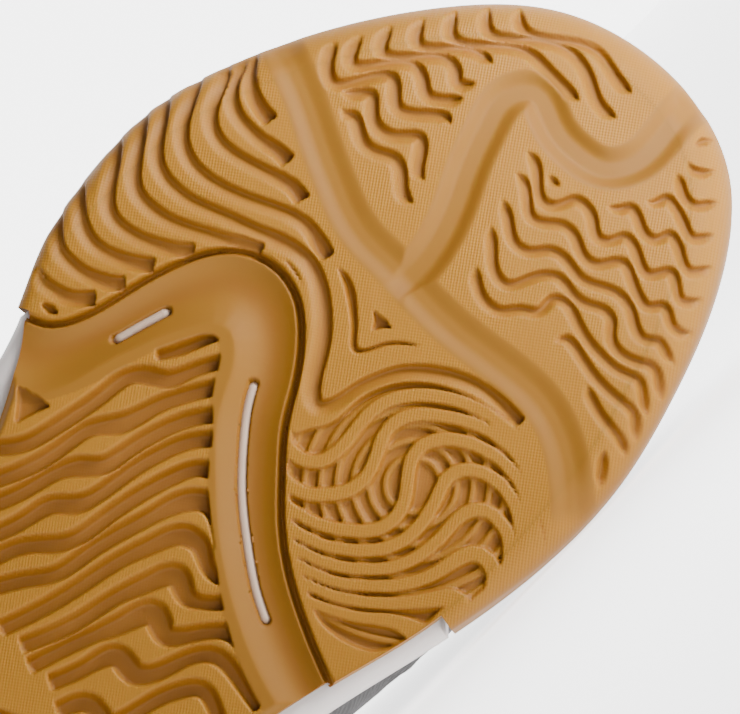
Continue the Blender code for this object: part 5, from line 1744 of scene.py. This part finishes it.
@dataclass
class Trim:
    """Heel counter and eyestay with their stitches and eyelets."""

    look: bpy.types.Material
    thread: Thread

    def build(self) -> list[bpy.types.Object]:
        """Make the overlays."""
        share = np.linspace(0.0, 1.0, 14)[None, :]
        w = np.linspace(-0.37, 0.37, 120)
        high = (0.5 - 0.27 * (np.abs(w) / 0.37) ** 2)[:, None]
        counter = plate("counter_panel", w, 0.02 * (1 - share) + high * share)
        w = np.linspace(0.53, 1.47, 220)
        share = np.linspace(0.0, 1.0, 10)[None, :]
        stay = plate("eyestay_panel", w, np.broadcast_to(0.78 + 0.21 * share, (len(w), 10)))
        for piece, node in ((counter, "heel_counter"), (stay, "eyestay")):
            piece.data.materials.append(self.look)
            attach(piece, "root")
            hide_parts(node)
        high_line = 0.5 - 0.27 * (np.abs(np.linspace(-0.36, 0.36, 150)) / 0.37) ** 2
        rows = [upper_off(np.linspace(-0.36, 0.36, 150), high_line - gap, OVERLAY_TOP + 0.05)
                for gap in (0.022, 0.045)]
        rows += [upper_off(np.linspace(0.54, 1.46, 240), np.full(240, level), OVERLAY_TOP + 0.05)
                 for level in (0.797, 0.812)]
        stitches = self.thread.sew("stitching", rows)
        return [counter, stay, stitches, self.eyelets()]

    def eyelets(self) -> bpy.types.Object:
        """Rings round the twelve lace holes."""
        ring, tube, turns, parts = 3.1, 0.75, 20, 8
        points, faces = [], []
        for along in EYELETS:
            for side in (0, 1):
                place = throat_place(along)
                w = place if side == 0 else 2.0 - place
                middle = upper_off(w, 0.915, OVERLAY_TOP + 0.05)
                ahead = unit(upper_off(w + 0.004, 0.915, OVERLAY_TOP + 0.05) - middle)
                above = upper_off(w, 0.93, OVERLAY_TOP + 0.05) - middle
                above = unit(above - ahead * above.dot(ahead))
                out = np.cross(ahead, above)
                first = len(points)
                for i in range(turns):
                    angle = 2 * math.pi * i / turns
                    spoke = ahead * math.cos(angle) + above * math.sin(angle)
                    for k in range(parts):
                        turn = 2 * math.pi * k / parts
                        points.append(middle + spoke * (ring + tube * math.cos(turn))
                                      + out * tube * 0.7 * math.sin(turn))
                for i in range(turns):
                    here, after = first + i * parts, first + (i + 1) % turns * parts
                    for k in range(parts):
                        side_on = (k + 1) % parts
                        faces.append((here + k, after + k, after + side_on, here + side_on))
        made = outwards(make_object("eyelets", points, faces))
        made.data.materials.append(self.look)
        set_vectors(made, "cloth", np.zeros((len(points), 3)))
        set_values(made, "crease", np.zeros(len(points)))
        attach(made, "root")
        return made


@dataclass
class Tongue:
    """Padded tongue under the throat."""

    look: bpy.types.Material

    def build(self) -> bpy.types.Object:
        """Make the tongue as a crowned pad."""
        rows = []
        for place in np.linspace(0.9, 0.53, 30):
            rise = 2.6 * min(1.0, (0.93 - place) / 0.15)
            rows.append(self.row(place, rise))
        top = rows[-1]
        middle = top[len(top) // 2]
        run = unit(rows[-1][len(top) // 2] - rows[-3][len(top) // 2])
        for share in np.linspace(0.1, 1.0, 10):
            squeeze = np.array([1.0 - 0.4 * share, 1.0 - 0.24 * share, 1.0 - 0.6 * share])
            rows.append(middle + (top - middle) * squeeze + run * 17.0 * share)
        grid = np.array(rows)
        normal = unit(np.cross(np.gradient(grid, axis=1), np.gradient(grid, axis=0)))
        if normal[5, len(top) // 2, 2] < 0.0:
            normal = -normal
        count, wide = grid.shape[:2]
        along = np.minimum(np.arange(count), np.arange(count)[::-1])[:, None] / 3.0
        cross = np.minimum(np.arange(wide), np.arange(wide)[::-1])[None, :] / 2.5
        fat = np.sqrt(np.clip(np.minimum(along, cross), 0.0, 1.0)) * 0.5 + 0.04
        upper = grid - normal * (0.5 - fat)[..., None] * TONGUE_THICK
        lower = grid - normal * (0.5 + fat)[..., None] * TONGUE_THICK
        points = np.vstack([upper.reshape(-1, 3), lower.reshape(-1, 3)])
        made = outwards(make_object("tongue_pad", points, sheet_faces(count, wide)))
        flat = np.stack(np.meshgrid(np.arange(count) * 3.0, np.arange(wide) * 2.0,
                                    indexing="ij"), -1).reshape(-1, 2)
        flat = np.column_stack([flat, np.zeros(len(flat))])
        set_vectors(made, "cloth", np.vstack([flat, flat]))
        made.data.materials.append(self.look)
        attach(made, "root")
        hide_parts("tongue")
        return made

    @staticmethod
    def row(place: float, sag: float) -> np.ndarray:
        """Points across the throat at one place, from under one side to under the other."""
        off = -UPPER_THICK - 0.6
        left = upper_off(np.full(4, place), np.array([0.86, 0.91, 0.96, 1.0]), off)
        right = upper_off(np.full(4, 2.0 - place), np.array([0.86, 0.91, 0.96, 1.0]), off)
        row = list(left)
        for share in np.linspace(0.0, 1.0, 12)[1:-1]:
            point = left[-1] * (1 - share) + right[-1] * share
            row.append(point + np.array([0.25, 0.0, 1.0]) * sag * 4 * share * (1 - share))
        return np.array(row + list(right[::-1]))


@dataclass
class Lace:
    """Flat lace through the eyelets, crossed up the throat, ending at the top eyelets."""

    look: bpy.types.Material
    half: float = 3.0
    thick: float = 1.3
    # Height over the upper and level, from inside an eyelet to over its edge
    rise: Rows = ((-1.6, 0.912), (OVERLAY_TOP + 0.2, 0.913), (OVERLAY_TOP + 1.7, 0.93))

    @staticmethod
    def spot(along: float, side: int, height: float, level: float) -> np.ndarray:
        """Point over one eyelet row."""
        place = throat_place(along)
        return upper_off(place if side < 0 else 2.0 - place, level, height)

    def path(self, start: tuple[float, int], end: tuple[float, int], over: float) -> np.ndarray:
        """Middle line of one crossing, from inside one eyelet to inside the other."""
        points = [self.spot(*start, height, level) for height, level in self.rise]
        left = self.spot(*start, OVERLAY_TOP + 1.5 + over, 1.0)
        right = self.spot(*end, OVERLAY_TOP + 1.5 + over, 1.0)
        for share in np.linspace(0.0, 1.0, 7):
            crown = 4 * share * (1 - share) * (3.0 + over)
            points.append(left * (1 - share) + right * share + np.array([0.3, 0.0, 1.0]) * crown)
        points += [self.spot(*end, height, level) for height, level in reversed(self.rise)]
        points = np.array(points)
        reach = reach_along(points)
        at = np.linspace(0.0, reach[-1], 46)
        return np.stack([np.interp(at, reach, points[:, i]) for i in range(3)], -1)

    def build(self) -> bpy.types.Object:
        """Make all the crossings as one piece."""
        runs = [self.path((EYELETS[0], -1), (EYELETS[0], 1), 0.0)]
        for low, high in zip(EYELETS, EYELETS[1:]):
            runs.append(self.path((low, -1), (high, 1), 0.2))
            runs.append(self.path((low, 1), (high, -1), 1.7))
        points, faces, flats = [], [], []
        ring = 12
        for spine in runs:
            run = unit(np.gradient(spine, axis=0))
            up = np.array([0.35, 0.0, 0.94])
            across = np.cross(run, up)
            for i in range(1, len(across)):
                if across[i].dot(across[i - 1]) < 0.0:
                    across[i] = -across[i]
            for _ in range(3):
                across[1:-1] = (across[:-2] + across[1:-1] + across[2:]) / 3.0
            across = unit(across)
            out = np.cross(across, run)
            share = np.minimum(np.arange(len(spine)), np.arange(len(spine))[::-1]) / 9.0
            narrow = 0.62 + 0.38 * ease(share)
            first = len(points)
            for i, spot in enumerate(spine):
                for k in range(ring):
                    angle = 2 * math.pi * k / ring
                    flat = math.copysign(abs(math.cos(angle)) ** 0.6, math.cos(angle))
                    points.append(spot + across[i] * self.half * narrow[i] * flat
                                  + out[i] * self.thick * 0.5 * math.sin(angle))
                    flats.append((i * 0.9, k * 1.1, 0.0))
            faces += tube_faces(len(spine), ring, first)
        made = outwards(make_object("laced_lace", points, faces))
        set_vectors(made, "cloth", flats)
        made.data.materials.append(self.look)
        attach(made, "root")
        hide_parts("lace")
        return made


@dataclass
class Studio:
    """Pale floor, soft light and the camera of the photograph."""

    aim: tuple[float, float, float] = (208.0, 7.0, 0.0)
    distance: float = 900.0
    focal_px: float = 4880.0
    toe_turn: float = 51.0
    lean: float = 3.0
    tilt: float = 10.0
    floor_size: float = 8.0
    wall_away: float = 2.5

    def axes(self) -> tuple[np.ndarray, np.ndarray, np.ndarray]:
        """Camera's right, up and back in the shoe's frame."""
        back = unit(np.array([-math.sin(math.radians(self.lean)),
                              math.sin(math.radians(self.tilt)), -1.0]))
        toe = unit(np.array([1.0, 0.0, 0.0]) - back * back[0])
        side = np.cross(toe, back)
        if side[1] < 0.0:
            side = -side
        turn = math.radians(self.toe_turn)
        right = math.cos(turn) * toe + math.sin(turn) * side
        up = math.sin(turn) * toe - math.cos(turn) * side
        return right, up, back

    def camera(self) -> None:
        """Set the camera."""
        right, up, back = self.axes()
        data = bpy.data.cameras.new("camera")
        data.sensor_width = 36.0
        data.lens = self.focal_px / PHOTO_WIDTH * data.sensor_width
        data.clip_start = 0.05
        data.clip_end = 30.0
        made = put("camera", data)
        turn = Matrix([LAY.way(axis) for axis in (right, up, back)]).transposed().to_4x4()
        spot = LAY.points([np.array(self.aim) + back * self.distance])[0]
        made.matrix_world = Matrix.Translation(Vector(spot)) @ turn
        bpy.context.scene.camera = made

    def lamp(self, name: str, direction: np.ndarray, distance: float, size: float,
             power: float) -> None:
        """One soft round light.

        Args:
            name: name of the light.
            direction: where it stands, seen from the aim.
            distance: how far from the aim, in metres.
            size: how wide it is, in metres.
            power: watts.
        """
        aim = Vector(LAY.points([self.aim])[0])
        data = bpy.data.lights.new(name, "AREA")
        data.shape = "DISK"
        data.size = size
        data.energy = power
        made = put(name, data)
        made.location = aim + LAY.way(direction) * distance
        made.rotation_euler = (aim - made.location).to_track_quat("-Z", "Y").to_euler()

    @staticmethod
    def card(name: str, corners: Rows, glow: float) -> None:
        """White sheet behind or under the shoe, with its own glow."""
        mesh = bpy.data.meshes.new(name)
        mesh.from_pydata(corners, [], [(0, 1, 2, 3)])
        made = put(name, mesh)
        mesh.materials.append(Shade(name).finish(
            (0.93, 0.93, 0.93), 0.9, emission_color=(1.0, 1.0, 1.0, 1.0), emission_strength=glow))

    def build(self) -> None:
        """Floor, backdrop, lights and camera."""
        right, up, back = self.axes()
        size = self.floor_size
        wall = self.wall_away
        self.card("floor", ((-size, -size, 0.0), (size, -size, 0.0), (size, wall, 0.0),
                            (-size, wall, 0.0)), 2.2)
        self.card("backdrop", ((-size, wall, 0.0), (size, wall, 0.0), (size, wall, size),
                               (-size, wall, size)), 3.2)
        world = bpy.data.worlds.new("studio")
        bpy.context.scene.world = world
        world.use_nodes = True
        back_ground = world.node_tree.nodes["Background"]
        back_ground.inputs[0].default_value = (1.0, 1.0, 1.0, 1.0)
        back_ground.inputs[1].default_value = 0.3
        self.lamp("key", up * 0.8 + back * 0.5 + right * 0.5, 0.32, 0.16, 2.6)
        self.lamp("fill", back * 0.9 + right * 0.9 + up * 0.2, 0.5, 0.3, 1.1)
        self.camera()


def main() -> None:
    """Build the shoe and its studio."""
    logging.basicConfig(level=logging.INFO)
    Studio().build()
    gum = GumRubber().make()
    foam = Foam().make()
    # Darker, warmer copy of the white foam for the window strips: painted shade of the recess and
    # painted warm bounce from the rubber.
    shaded_window_foam = Foam("window foam with painted shade", (0.36, 0.25, 0.18)).make()
    charcoal = Synthetic("charcoal synthetic", (0.020, 0.017, 0.018), (0.060, 0.053, 0.053),
                         1.0, 1.1, 0.5).make()
    black = Synthetic("black synthetic", (0.010, 0.009, 0.010), (0.03, 0.028, 0.029),
                      0.25, 0.8, 0.46).make()
    lining = Cloth("lining", (0.07, 0.066, 0.066), (0.15, 0.14, 0.14), 0.9, 0.00012).make()
    cord = Cloth("lace weave", (0.022, 0.021, 0.022), (0.07, 0.066, 0.07), 1.0, 0.0002).make()
    thread = Cloth("thread", (0.10, 0.095, 0.095), (0.2, 0.19, 0.19), 0.4, 0.00004).make()
    for piece in (*Outsole(gum).build(), Midsole(foam, shaded_window_foam).build(), Footbed(lining).build(),
                  Upper(charcoal, lining).build(), *Trim(black, Thread(thread)).build(),
                  Tongue(lining).build(), Lace(cord).build()):
        LOG.info("%s: %d faces", piece.name, len(piece.data.polygons))


if __name__ == "__main__":
    main()
    bpy.context.view_layer.update()
